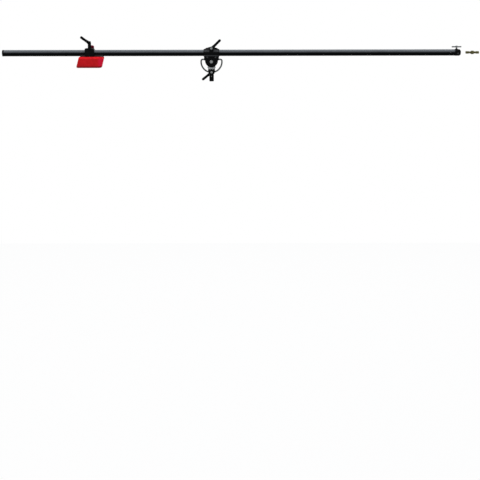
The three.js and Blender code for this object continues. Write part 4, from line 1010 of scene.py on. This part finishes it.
class BOOM_OT_head(bpy.types.Operator):
    """Make the two cheeks, the arc rod, the liner and the head's screws"""

    bl_idname = "boom.head"
    bl_label = "Head"

    def execute(self, context):
        s = context.scene.boom_head
        pivot = middle("pivot_washer_near").z
        axis = middle("boom_tube").z
        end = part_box("cheek_far")[1].x
        clamp = middle("clamp_bolt").z
        arc = pivot + s.arc_end
        cross, drag = ([(middle(name + k).x, middle(name + k).z) for k in ("rear", "front")]
                       for name in ("cheek_screw_", "liner_screw_far_"))
        drag_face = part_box("liner_screw_far_rear")[1].y
        rim_face = s.outer + 1.5 * MM

        disc = slab("Cheek", circle_outline(0, pivot + s.disc_lift, s.disc, 120),
                    -s.outer, -s.inner, 2 * MM)
        wide = rectangle((-end, end), (pivot + s.skirt, pivot + s.ledge),
                         [9 * MM, 9 * MM, 5 * MM, 5 * MM], 6)
        joined(disc, slab("Wide part", wide, -s.outer, -s.inner, 2 * MM))
        floor, slope = s.outer - s.dish_depth, 0.6 * MM
        cut(disc, spun("Dish", [
            (floor, s.boss + slope), (floor, s.dish - slope),
            (s.outer + MM, s.dish + slope), (s.outer + MM, s.boss - slope),
        ], "far", (0, 0, pivot), 120, wrapped=True))
        x, rise = end - s.corner, axis + s.shoulder - s.corner
        grip = softened([
            (-end, s.mouth - 1.5 * MM), (-end, s.mouth), (s.taper - end, s.grip),
            (end - s.taper, s.grip), (end, s.mouth), (end, s.mouth - 1.5 * MM)],
            [0, 1.2 * MM, 9 * MM, 9 * MM, 1.2 * MM, 0], 8)
        solids = [
            spun("Grip", grip, "front", (0, 0, axis), 128),
            slab("Flange", hull_outline([
                (x, axis, s.corner), (x, rise, s.corner), (0, clamp, s.clamp_boss),
                (-x, rise, s.corner), (-x, axis, s.corner)]), -12.5 * MM, 12.5 * MM, 2 * MM),
            rod(s.clamp_boss, 0, s.clamp_reach, "far", (0, 0, clamp), 1.2 * MM, 64),
        ]
        for px, pz in cross:
            solids.append(rod(6.5 * MM, 0, s.inner + 4 * MM, "far", (px, 0, pz)))
            solids.append(rod(s.screw_boss, s.inner, rim_face, "far", (px, 0, pz), 0.8 * MM))
            out = math.copysign(1, px)
            seat = sorted((out * (end - 13.8 * MM), out * (end - 1.5 * MM)))
            solids.append(block(seat, (0, s.inner + 4 * MM), (arc - 7 * MM, arc + 7 * MM)))
        for px, pz in drag:
            solids.append(rod(s.liner_boss, 15 * MM, drag_face, "far", (px, 0, pz), 0.8 * MM))
        far = cast(gathered(disc, *solids), 0.75 * MM, 7)

        high = s.outer + 30 * MM
        cuts = [
            rod(s.bore, -end - MM, end + MM, "front", (0, 0, axis), sides=128),
            rod(DISC_POCKET, -high, s.inner, "far", (0, 0, pivot), sides=128),
            block((-end - MM, end + MM), (-high, 1.5 * MM), (axis, axis + high)),
            block((-end - MM, end + MM), (-high, 0.15 * MM), (pivot - high, axis + MM)),
            gathered(
                rod(PIVOT_HOLE, 0, high, "far", (0, 0, pivot), sides=64),
                rod(SCREW_HOLE, 0, high, "far", (0, 0, clamp)),
                *[rod(SET_SCREW_HOLE, s.bore - 5 * MM, high, "far", (px, 0, pz))
                  for px, pz in drag],
                *[spun("Counterbore", [
                    (0, CROSS_HOLE), (rim_face - 6 * MM, CROSS_HOLE),
                    (rim_face - 6 * MM, COUNTERBORE), (rim_face + MM, COUNTERBORE),
                ], "far", (px, 0, pz)) for px, pz in cross],
            ),
            gathered(*[rod(s.seat, *sorted((side * (end - 12.8 * MM), side * (end + MM))), "front",
                           (0, 0, arc)) for side in (-1, 1)]),
            gathered(*[rod(ARC_PIN_HOLE, 0, 9.3 * MM, "far", (side * (end - 6 * MM), 0, arc))
                       for side in (-1, 1)]),
        ]
        cut(far, *cuts)
        near = far.copy()
        near.data = far.data.copy()
        context.scene.collection.objects.link(near)
        turned_over(near)
        given(far, "cheek_far")
        given(near, "cheek_near")

        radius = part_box("arc_rod")[1].y
        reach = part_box("arc_rod")[1].x - radius
        tip, bend = end - 12.5 * MM, s.arc_bend
        share = np.linspace(0, 1, 10)[:, None]
        first, corner, last = np.array([
            [reach - bend, 0, s.arc_end], [reach, 0, s.arc_end], [reach, 0, s.arc_end - bend]])
        curve = (1 - share) ** 2 * first + 2 * share * (1 - share) * corner + share**2 * last
        arm = np.vstack([[[tip, 0, s.arc_end], [tip + 0.5 * MM, 0, s.arc_end]], curve])
        other = arm[::-1] * np.array([-1, 1, 1])
        path = np.vstack([arm, arc_points(reach, 90, -90, 90), other]) + np.array([0, 0, pivot])
        thick = np.full(len(path), radius)
        thick[[0, -1]] -= 0.5 * MM
        given(swept("Arc rod", path, thick, 40), "arc_rod", finish="steel_bar")
        for name in ("arc_pin_rear", "arc_pin_front"):
            across_pin(name)

        low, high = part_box("boom_liner")
        flange, outer = high.z - axis, s.bore - CLEAR
        inner, seat = outer - 1.5 * MM, high.x - 2 * MM
        liner = spun("Liner", both_ways([
            (seat, outer), (seat, flange - 0.3 * MM), (seat + 0.3 * MM, flange),
            (high.x - 0.6 * MM, flange), (high.x, flange - 0.6 * MM), (high.x, inner + 0.5 * MM),
            (high.x - 0.5 * MM, inner)]), "front", (0, 0, axis), 128, wrapped=True)
        cut(liner, block((low.x - MM, high.x + MM), (-1.5 * MM, 1.5 * MM), (axis - 40 * MM, axis)))
        given(liner, "boom_liner")

        low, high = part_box("clamp_washer")
        given(ring(SCREW_HOLE, (high.z - low.z) / 2, -high.y, -low.y, "near", (0, 0, clamp)),
              "clamp_washer")
        fitted_bolt("clamp_bolt", low.y - CLEAR, 4 * MM, 14 * MM, 1.25 * MM)
        for (px, pz), place in zip(cross, ("rear", "front")):
            low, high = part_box(f"cheek_screw_{place}")
            seat = low.y + 5.4 * MM
            given(socket_head(5 * MM, 5.4 * MM, 3 * MM, high.y - seat, 5 * MM, "near",
                              (px, seat, pz)), f"cheek_screw_{place}")
            fitted_nut(f"cheek_nut_{place}", 3.1 * MM)
        for side in ("near", "far"):
            for place in ("rear", "front"):
                name = f"liner_screw_{side}_{place}"
                low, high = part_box(name)
                at = (middle(name).x, low.y if side == "near" else high.y, middle(name).z)
                grub = threaded("Grub", 3.5 * MM, MM, -(high.y - low.y), 0, side, at)
                cut(grub, prism(2.3 * MM, -3 * MM, MM, side, at))
                given(grub, name)
        return {"FINISHED"}


# Levers

class LeverSettings(bpy.types.PropertyGroup):
    reach: length("Reach", 80 * MM, "From the hub's axis to the end of the arm")
    rise: degrees("Rise", 25, "Angle that the arm climbs")
    foot: length("Hub foot", 11 * MM, "Radius of the hub at its foot")
    top: length("Hub top", 8.6 * MM, "Radius of the hub at its top")
    height: length("Hub height", 44 * MM, "Of the hub")
    start: length("Arm start", 33 * MM, "Height at which the arm leaves the hub")
    root: length("Arm root", 8.6 * MM, "Radius of the arm at the hub")
    waist: length("Arm waist", 8.1 * MM, "Radius of the arm's middle")
    tip: length("Arm tip", 8.3 * MM, "Radius of the arm near its end")
    well: length("Well", 4.6 * MM, "Radius of the well in the hub")
    floor: length("Well floor", 20 * MM, "Height of the well's floor")
    insert: length("Insert", 6.8 * MM, "Radius of the toothed insert")
    teeth: IntProperty(name="Teeth", description="Of the insert", default=12)


def toothed(name, radius, depth, teeth, low, high):
    """A toothed rod: at an angle, the radius drops from its own by the depth times a triangle wave
    that runs once per tooth, and its rims are taken off at a slant."""
    theta = np.linspace(0, 2 * math.pi, teeth * 4, endpoint=False)
    wave = 1 - np.abs(2 * ((theta * teeth / (2 * math.pi) + 0.5) % 1) - 1)
    edge = 0.5 * MM
    rings = []
    for z, back in ((low, edge), (low + edge, 0), (high - edge, 0), (high, edge)):
        r = radius - depth * (1 - wave) - back
        rings.append(np.stack([r * np.cos(theta), r * np.sin(theta), z + 0 * theta], axis=1))
    return surface(name, np.stack(rings))


class BOOM_OT_levers(bpy.types.Operator):
    """Make the three ratchet levers with their inserts, springs and screws"""

    bl_idname = "boom.levers"
    bl_label = "Levers"

    def lever(self, s):
        """A lever that stands on its own axis: the hub with its toothed well, and the arm, whose
        middle line climbs at the rise less a drop that is largest at the hub."""
        hub = spun("Hub", [
            (0.3 * MM, s.foot - 1.2 * MM), (1.2 * MM, s.foot), (s.height * 0.3, s.foot),
            (s.height * 0.6, 0.54 * (s.foot + s.top)), (s.height - 2.5 * MM, s.top),
            (s.height - 0.8 * MM, s.top - 0.8 * MM), (s.height, s.top - 2.6 * MM),
        ])
        run = (s.reach - s.tip) / math.cos(s.rise)
        share = np.linspace(0, 1, 60)
        along = share * (run + s.tip)
        radius = np.interp(along, [0, 0.25 * run, 0.55 * run, 0.85 * run, run],
                           [s.root + 3 * MM, s.root + 0.6 * MM, s.waist, s.tip, s.tip])
        past = np.clip((along - run) / s.tip, 0, 0.995)
        radius = radius * np.sqrt(1 - past**2)
        drop = 1.5 * MM * np.sin(math.pi * share) + 3.4 * MM * (1 - share) ** 6
        path = np.stack([along * math.cos(s.rise), 0 * along,
                         s.start + along * math.sin(s.rise) - drop], axis=1)
        lever = cast(gathered(hub, swept("Arm", path, radius, 32)), 0.55 * MM, 10)
        cut(lever,
            gathered(rod(s.well, s.floor, s.height + 9 * MM, sides=64),
                     rod(2.3 * MM, s.floor - 8 * MM, s.floor + MM)),
            toothed("Teeth", s.insert + CLEAR, 0.7 * MM, s.teeth, -2 * MM, s.floor - 2.7 * MM))
        return lever

    def execute(self, context):
        s = context.scene.boom_levers
        height = s.floor - 3 * MM
        kit = {
            "": self.lever(s),
            "_spring": swept("Spring", helix(3.1 * MM, s.floor + 0.8 * MM, 7 * MM, 3), 0.5 * MM, 12,
                             (0, 0, 1)),
            "_screw": socket_head(3.9 * MM, 3 * MM, 2 * MM, s.floor + 8.6 * MM - height + 7 * MM,
                                  4 * MM, "up", (0, 0, s.floor + 8.6 * MM), 0.7 * MM),
        }
        screw = {"tilt": 5 * MM, "clamp": 4 * MM, "weight": 4 * MM}
        turns = {"tilt": 141.5, "clamp": -45, "weight": 233}
        facings = {"tilt": "far", "clamp": "far", "weight": "up"}
        for name in turns:
            low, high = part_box(f"{name}_lever_insert")
            node = middle(f"{name}_lever_screw")
            if name == "weight":
                place = np.array([node.x, node.y, high.z - height])
                reach = place[2] - low.z
            else:
                place = np.array([node.x, high.y - height, node.z])
                reach = place[1] - low.y
            insert = toothed("Insert", s.insert, 0.7 * MM, s.teeth, 0.3 * MM, height)
            if name == "clamp":
                cut(insert, rod(SCREW_HOLE, -2 * MM, 9 * MM))
            else:
                pitch = 1.5 * MM if name == "tilt" else 1.25 * MM
                gathered(insert, threaded("Thread", screw[name], pitch, -reach, MM, "up",
                                          (0, 0, 0)))
            pieces = {"_insert": insert}
            for part, pattern in kit.items():
                pieces[part] = pattern.copy()
                pieces[part].data = pattern.data.copy()
                context.scene.collection.objects.link(pieces[part])
            for part, made in pieces.items():
                set_down(made, math.radians(turns[name]), facings[name], place)
                given(made, f"{name}_lever{part}")
        for pattern in kit.values():
            dropped(pattern)
        return {"FINISHED"}


def helix(radius, start, rise, turns, count=24):
    """Points of a helix about Z."""
    share = np.linspace(0, 1, int(turns * count) + 1)
    angle = 2 * math.pi * turns * share
    return np.stack([radius * np.cos(angle), radius * np.sin(angle), start + rise * share], axis=1)


# Boom

class BoomSettings(bpy.types.PropertyGroup):
    wall: length("Tube wall", 2 * MM, "Thickness of the tube's wall")
    cap_corner: length("Cap corner", 3 * MM, "Rounding of the rear cap")
    socket: length("Socket", 20.8 * MM, "Radius of the front socket")
    nose: length("Nose", 14 * MM, "Length of the socket's rounded nose")
    brow: length("Brow", 11.3 * MM, "Depth of the nose's rounding")
    bore: length("Socket bore", 8.3 * MM, "Radius of the spigot's bore")
    depth: length("Socket depth", 50 * MM, "Of the bore")
    boss: length("Boss", 8.5 * MM, "Radius of the T-screw's boss")
    boss_rise: length("Boss rise", 24 * MM, "From the axis to the boss's top")
    hub: length("T hub", 6 * MM, "Radius of the T-screw's hub")
    spigot: length("Spigot", 8 * MM, "Radius of the spigot")
    groove: length("Groove", 6.5 * MM, "Radius at the spigot's grooves")
    hexagon: length("Hexagon", 22 * MM, "Across the flats of the spigot's hexagon")


class BOOM_OT_boom(bpy.types.Operator):
    """Make the tube, the rear cap, the front socket with its T-screw, and the spigot"""

    bl_idname = "boom.boom"
    bl_label = "Boom"

    def execute(self, context):
        s = context.scene.boom_boom
        low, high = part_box("boom_tube")
        radius, axis = high.y, middle("boom_tube").z
        line = (0, 0, axis)
        pin = middle("socket_pin").x
        inner, edge = radius - s.wall, 0.4 * MM
        outside = [(low.x + edge, radius), (pin - 12 * MM, radius), (pin + 12 * MM, radius),
                   (high.x - edge, radius)]
        inside = [(high.x - edge, inner), (pin + 12 * MM, inner), (pin - 12 * MM, inner),
                  (low.x + edge, inner)]
        tube = spun("Tube", [
            (low.x, inner + edge), (low.x, radius - edge), *outside, (high.x, radius - edge),
            (high.x, inner + edge), *inside], "front", line, 96, wrapped=True)
        cut(tube, rod(PIN_HOLE, -radius - MM, radius + MM, "far", (pin, 0, axis)))
        given(tube, "boom_tube")
        across_pin("socket_pin")

        low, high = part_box("rear_cap")
        rim, plug, head = high.y, inner - CLEAR, low.x + 10 * MM
        bore = plug - 2.5 * MM
        cap = softened([
            (low.x + 1.2 * MM, 0), (low.x + 1.2 * MM, rim - 7 * MM), (low.x, rim - 6 * MM),
            (low.x, rim), (head - 0.4 * MM, rim), (head, rim - 0.4 * MM)],
            [0, 0.8 * MM, 0.8 * MM, s.cap_corner, 0.3 * MM, 0], 6)
        given(spun("Cap", [
            *cap, (head, plug), (high.x - 1.5 * MM, plug), (high.x, plug - MM), (high.x, bore),
            (head, bore), (head, 0)], "front", line, 96), "rear_cap")

        low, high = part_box("end_socket")
        nose, head = high.x, high.x - 38 * MM
        plug = inner - CLEAR
        angle = np.linspace(0, math.pi / 2, 13)
        profile = list(zip(nose - s.nose * (1 - np.sin(angle)),
                           s.socket - s.brow * (1 - np.cos(angle))))
        casting = spun("Socket", [
            (low.x, plug - MM), (low.x + MM, plug), (head, plug), (head, s.socket - 0.4 * MM),
            (head + 0.4 * MM, s.socket), *profile], "front", line, 112)
        t_place = middle("t_screw")
        boss = spun("Boss", [
            (s.bore, s.boss + 4.5 * MM), (s.socket - 3.2 * MM, s.boss + 4.5 * MM),
            (s.socket - 1.2 * MM, s.boss + 1.6 * MM), (s.socket + 0.8 * MM, s.boss + 0.3 * MM),
            (s.boss_rise - 0.8 * MM, s.boss), (s.boss_rise, s.boss - 0.8 * MM)],
            "up", (t_place.x, 0, axis), 64)
        cast(gathered(casting, boss), 0.6 * MM, 3)
        catch = middle("catch_screw")
        out = (catch - Vector((catch.x, 0, axis))).normalized()
        hole = aimed(rod(SCREW_HOLE, 2 * MM, radius * 2), out, (catch.x, 0, axis))
        cut(casting,
            rod(s.bore, nose - s.depth, nose + MM, "front", line, sides=96),
            rod(SCREW_HOLE, 0, s.boss_rise + MM, "up", (t_place.x, 0, axis), sides=64), hole,
            rod(PIN_HOLE, -radius - MM, radius + MM, "far", (pin, 0, axis)))
        given(casting, "end_socket")
        screw = socket_head(4.6 * MM, 1.5 * MM, 4 * MM, s.socket - s.bore, 4 * MM, "up", (0, 0, 0))
        given(aimed(screw, out, Vector((catch.x, 0, axis)) + out * (s.socket + CLEAR)),
              "catch_screw")

        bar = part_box("t_bar")
        rise, reach = middle("t_bar").z, bar[1].x - t_place.x
        thick = (bar[1].z - bar[0].z) / 2
        stem_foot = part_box("t_screw")[0].z
        hub = spun("Hub", [
            (rise - 7 * MM, 4.4 * MM), (rise - 6.2 * MM, s.hub), (rise + 5.6 * MM, s.hub),
            (rise + 6.6 * MM, s.hub - 0.8 * MM), (rise + 7 * MM, s.hub - 2 * MM)],
            "up", (t_place.x, 0, 0), 64)
        gathered(hub, threaded("Stem", 4 * MM, 1.25 * MM, stem_foot, rise - 6.5 * MM, "up",
                               (t_place.x, 0, 0), 40))
        cut(hub, rod(thick + CLEAR, -20 * MM, 20 * MM, "front", (t_place.x, 0, rise)))
        given(hub, "t_screw", finish="steel_bar")
        given(spun("T-bar", softened([
            (-reach, 0), (-reach, thick), (reach, thick), (reach, 0)], 1.4 * MM, 5),
            "front", (t_place.x, 0, rise), 48), "t_bar", finish="steel_bar")

        low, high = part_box("spigot")
        centre, half = (low.x + high.x) / 2, (high.x - low.x) / 2
        side = [
            *crowned(s.hexagon, 7.5 * MM), (7.5 * MM, s.spigot),
            (11.5 * MM, s.spigot), (13 * MM, s.groove), (22 * MM, s.groove),
            (23.5 * MM, s.spigot), (half - 1.5 * MM, s.spigot),
            (half - 0.3 * MM, s.spigot - 1.2 * MM), (half, s.spigot - 2 * MM),
        ]
        given(spun("Spigot", both_ways(side), "front", (centre, 0, axis), 96), "spigot")
        return {"FINISHED"}


# Counterweight

class WeightSettings(bpy.types.PropertyGroup):
    place: length("Place", 770 * MM, "From the pivot line back to the clamp's middle")
    drop: length("Drop", 24 * MM, "From the boom's axis to the casting's top")
    height: length("Height", 69.5 * MM, "Of the red casting")
    run: length("Length", 158 * MM, "Of the casting along the boom")
    front: length("Front", 90 * MM, "From the clamp's middle to the front top corner")
    slant: length("Slant", 19 * MM, "How far its foot is set back from its top")
    half: length("Half depth", 38 * MM, "Half of the casting's depth")
    bevel: length("Top bevel", 12 * MM, "Height of the bevel at the top of each face")
    facet: length("Front facet", 35 * MM, "Run of the front corners' facets")
    panel: length("Panel margin", 11 * MM, "From the edge to the panel in each face")
    jaw: length("Jaw", 28 * MM, "Half of the jaw's length")
    crown: length("Crown", 31 * MM, "From the boom's axis to the jaw's top")
    reach: length("Jaw reach", 37 * MM, "From the boom's axis to the jaw's near face")
    screw: length("Screw setout", 28.5 * MM, "From the boom's axis to the clamp screw")
    pin: length("Pin setback", 28 * MM, "From the boom's axis to the jaw's pin")
    pin_rise: length("Pin rise", 20 * MM, "From the boom's axis to the jaw's pin")
    lug: length("Lug", 14 * MM, "Half of the hinge lug's width")
    lug_setout: length("Lug setout", 8 * MM, "Of the lug in front of the clamp's middle")


class BOOM_OT_weight(bpy.types.Operator):
    """Make the red casting, its saddle, the jaw and its pin"""

    bl_idname = "boom.weight"
    bl_label = "Counterweight"

    def outline(self, s, margin, foot, top):
        """The casting's front view, drawn in by a margin, seen from the clamp's middle."""
        high, low = -s.drop - margin, margin - s.drop - s.height
        rear, front = s.front - s.run + margin, s.front - margin
        corners = [(x + s.slant * (z + s.drop) / s.height, z)
                   for x, z in ((rear, low), (front, low), (front, high), (rear, high))]
        return softened(corners, [foot, foot, top, top], 6, closed=True) + self.origin[[0, 2]]

    def execute(self, context):
        s = context.scene.boom_weight
        axis = middle("boom_tube").z
        self.origin = np.array([-s.place, 0, axis])
        ox, oz = -s.place, axis
        top, rear = oz - s.drop, ox + s.front - s.run
        front = ox + s.front
        wide = 60 * MM  # further than the clamp reaches from its middle
        ends = (ox - wide, ox + wide)
        pin, screw = (0, s.pin, oz + s.pin_rise), (ox, -s.screw, 0)

        body = slab("Weight", self.outline(s, 0, 13 * MM, 5 * MM), -s.half, s.half, 1.2 * MM)
        cutters = []
        for side in (-1, 1):
            wedge = np.array([
                [side * (s.half + 1.7 * MM), top - s.bevel - 5 * MM],
                [side * (s.half - 5.7 * MM), top + 5 * MM],
                [side * (s.half + 14 * MM), top + 5 * MM]])
            cutters.append(slab("Bevel", wedge, rear - 30 * MM, front + 10 * MM, 0.0, "front"))
            start = front - s.facet
            wedge = np.array([
                [start - 5 * MM, side * (s.half + 5 * MM)],
                [front + 5 * MM, side * (s.half - s.facet - 5 * MM)],
                [front + 5 * MM, side * (s.half + 5 * MM)]])
            cutters.append(slab("Facet", wedge, top - s.height - 5 * MM, top + 5 * MM, 0.0, "up"))
        panel = self.outline(s, s.panel, 7 * MM, 7 * MM)
        cutters.append(slab("Panel", panel, s.half - 1.2 * MM, s.half + 5 * MM, 0.0))
        cutters.append(slab("Panel", panel, -s.half - 5 * MM, 1.2 * MM - s.half, 0.0))
        cut(body, *cutters)

        rib = s.half - 6 * MM
        ribs = block((rear + 5 * MM, start - 2 * MM), (rib - 10 * MM, rib),
                     (top - 4 * MM, top + 13 * MM))
        lug_x = (ox + s.lug_setout - s.lug, ox + s.lug_setout + s.lug)
        lug = slab("Lug", hull_outline([
            (30 * MM, top, 7 * MM), (s.pin, oz + s.pin_rise, 9.8 * MM),
            (27 * MM, oz + 38 * MM, 11 * MM)]), *lug_x, 0.0, "front")
        trimmed(lug, lug_x, (top - 4 * MM, oz + 49 * MM), [0, 0, 11 * MM, 11 * MM], 8)
        cast(gathered(body, ribs, lug), 0.95 * MM, 4)
        cut(body, rod(SCREW_HOLE, *ends, "front", pin),
            rod(SCREW_HOLE, top - 34 * MM, top + 5 * MM, "up", screw))
        given(body, "counterweight")

        low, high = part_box("saddle_pad")
        pad = block((low.x, high.x), (low.y, high.y), (low.z, high.z))
        cut(pad, rod(TUBE_BORE, low.x - MM, high.x + MM, "front", (0, 0, axis), sides=128))
        given(pad, "saddle_pad", width=0.7 * MM)

        foot = top + 3 * MM
        toe, rest = high.y + 0.6 * MM, ox - s.jaw - 2.5 * MM
        jaw = slab("Jaw", hull_outline([
            (4 * MM - s.reach, foot + 4 * MM, 4 * MM), (-toe - 4 * MM, foot + 4 * MM, 4 * MM),
            (s.pin, oz + s.pin_rise, 9.5 * MM), (-12 * MM, oz + s.crown - 12 * MM, 12 * MM),
            (8 * MM - s.reach, oz + s.pin_rise, 8 * MM)]),
            rest, ox + s.jaw, 0.0, "front")
        trimmed(jaw, (rest, ox + s.jaw), (foot, oz + s.crown),
                [5 * MM, 5 * MM, 16 * MM, 9 * MM], 10)
        seat = rod(12 * MM, oz + s.pin_rise - 4 * MM, oz + 30 * MM, "up", screw, 1.2 * MM)
        cast(gathered(jaw, seat), 0.7 * MM, 6)
        cut(jaw,
            rod(TUBE_BORE, *ends, "front", (0, 0, axis), sides=128),
            block(ends, (-toe, wide), (axis - wide, high.z + 0.6 * MM)),
            block((lug_x[0] - 0.4 * MM, lug_x[1] + 0.4 * MM), (15.4 * MM, wide),
                  (top, axis + wide)),
            rod(SCREW_HOLE, *ends, "front", pin),
            rod(4.6 * MM, foot - 5 * MM, oz + 36 * MM, "up", screw))
        given(jaw, "weight_jaw")
        across_pin("jaw_pin", "front")
        return {"FINISHED"}


# Stage

class StageSettings(bpy.types.PropertyGroup):
    distance: length("Camera distance", 8.0, "From the camera back to the boom")
    sideways: length("Camera sideways", 0.181, "Of the camera from the pivot line")
    lens: number("Lens", 93.5, "Focal length in millimetres")
    pitch: degrees("Pitch", 8.54, "How far the camera looks down")
    roll: degrees("Roll", 0.1, "Turn of the picture")
    floor: length("Floor", -1.5, "Height of the floor")
    white: number("White", 0.94, "Share of plain white in the floor")
    overhead: number("Overhead", 100, "Power of the overhead light")
    fill: number("Fill", 78, "Power of the front light")


def area_light(name, place, target, size, power):
    """A soft rectangular light that looks at a point."""
    lamp = bpy.data.lights.new(name, "AREA")
    lamp.shape = "RECTANGLE"
    lamp.size, lamp.size_y = size
    lamp.energy = power
    made = bpy.data.objects.new(name, lamp)
    bpy.context.scene.collection.objects.link(made)
    made.location = place
    made.rotation_euler = (Vector(target) - Vector(place)).to_track_quat("-Z", "Y").to_euler()


def background_share(tree, share):
    """The share of the plain background in what the camera, metal and glass see, and none of it
    in the light that falls on the object."""
    path = tree.nodes.new("ShaderNodeLightPath")
    total = path.outputs["Is Camera Ray"]
    for ray in ("Is Glossy Ray", "Is Transmission Ray"):
        both = tree.nodes.new("ShaderNodeMath")
        both.operation = "MAXIMUM"
        tree.links.new(total, both.inputs[0])
        tree.links.new(path.outputs[ray], both.inputs[1])
        total = both.outputs[0]
    part = tree.nodes.new("ShaderNodeMath")
    part.operation = "MULTIPLY"
    tree.links.new(total, part.inputs[0])
    part.inputs[1].default_value = share
    return part.outputs[0]


def shown_white(tree, kind, lit, output, share):
    """Lays plain white over a shader by its share in the background."""
    white = tree.nodes.new(kind)
    white.inputs[0].default_value = (1, 1, 1, 1)
    white.inputs[1].default_value = 1.0
    mix = tree.nodes.new("ShaderNodeMixShader")
    tree.links.new(background_share(tree, share), mix.inputs[0])
    tree.links.new(lit, mix.inputs[1])
    tree.links.new(white.outputs[0], mix.inputs[2])
    tree.links.new(mix.outputs[0], output)


class BOOM_OT_stage(bpy.types.Operator):
    """Make the floor, the soft lights and the camera"""

    bl_idname = "boom.stage"
    bl_label = "Stage"

    def execute(self, context):
        s = context.scene.boom_stage
        scene = context.scene
        scene.view_settings.view_transform = "Standard"

        camera = bpy.data.objects.new("Camera", bpy.data.cameras.new("Camera"))
        scene.collection.objects.link(camera)
        camera.data.lens = s.lens
        camera.data.clip_end = 60
        boom_height = middle("boom_tube").z
        camera.location = (s.sideways, -s.distance, boom_height)
        camera.rotation_euler = (math.pi / 2 - s.pitch, s.roll, 0)
        scene.camera = camera

        world = bpy.data.worlds.new("Studio")
        world.use_nodes = True
        scene.world = world
        tree = world.node_tree
        lit = tree.nodes["Background"]
        lit.inputs[0].default_value = (0.9, 0.93, 1.0, 1)
        lit.inputs[1].default_value = 0.55
        shown_white(tree, "ShaderNodeBackground", lit.outputs[0],
                    tree.nodes["World Output"].inputs[0], 1.0)

        points = [(-5, -6, s.floor), (5, -6, s.floor), (5, 3, s.floor), (-5, 3, s.floor)]
        mesh = bpy.data.meshes.new("Floor")
        mesh.from_pydata(points, [], [[0, 1, 2, 3]])
        floor = bpy.data.objects.new("Floor", mesh)
        scene.collection.objects.link(floor)
        material = bpy.data.materials.new("Pale floor")
        material.use_nodes = True
        tree = material.node_tree
        shader = tree.nodes["Principled BSDF"]
        shader.inputs["Base Color"].default_value = (0.9, 0.9, 0.9, 1)
        shader.inputs["Roughness"].default_value = 0.9
        shown_white(tree, "ShaderNodeEmission", shader.outputs[0],
                    tree.nodes["Material Output"].inputs[0], s.white)
        mesh.materials.append(material)

        target = (0.2, 0, boom_height)
        area_light("Overhead", (0.2, 0.3, 3.4), target, (5.5, 2.4), s.overhead)
        area_light("Front fill", (-1.5, -6.0, 2.4), target, (3.0, 2.0), s.fill)
        return {"FINISHED"}


CLASSES = [
    FinishSettings, StandSettings, HeadSettings, LeverSettings, BoomSettings, WeightSettings,
    StageSettings, BOOM_OT_finishes, BOOM_OT_stand, BOOM_OT_head, BOOM_OT_levers, BOOM_OT_boom,
    BOOM_OT_weight, BOOM_OT_stage,
]
SETTINGS = {
    "boom_finishes": FinishSettings, "boom_stand": StandSettings, "boom_head": HeadSettings,
    "boom_levers": LeverSettings, "boom_boom": BoomSettings, "boom_weight": WeightSettings,
    "boom_stage": StageSettings,
}


class BOOM_PT_panel(bpy.types.Panel):
    """The boom arm's pieces and their settings"""

    bl_idname = "BOOM_PT_panel"
    bl_label = "Boom arm"
    bl_space_type = "VIEW_3D"
    bl_region_type = "UI"
    bl_category = "Boom arm"

    def draw(self, context):
        for made in CLASSES:
            if issubclass(made, bpy.types.Operator):
                self.layout.operator(made.bl_idname)
        for name, group in SETTINGS.items():
            column = self.layout.column()
            for key in group.__annotations__:
                column.prop(getattr(context.scene, name), key)


def register():
    for made in [*CLASSES, BOOM_PT_panel]:
        bpy.utils.register_class(made)
    for name, group in SETTINGS.items():
        setattr(bpy.types.Scene, name, PointerProperty(type=group))


def unregister():
    for name in SETTINGS:
        delattr(bpy.types.Scene, name)
    for made in reversed([*CLASSES, BOOM_PT_panel]):
        bpy.utils.unregister_class(made)


def main():
    register()
    for make in ("finishes", "stand", "head", "levers", "boom", "weight", "stage"):
        getattr(bpy.ops.boom, make)()


if __name__ == "__main__":
    main()
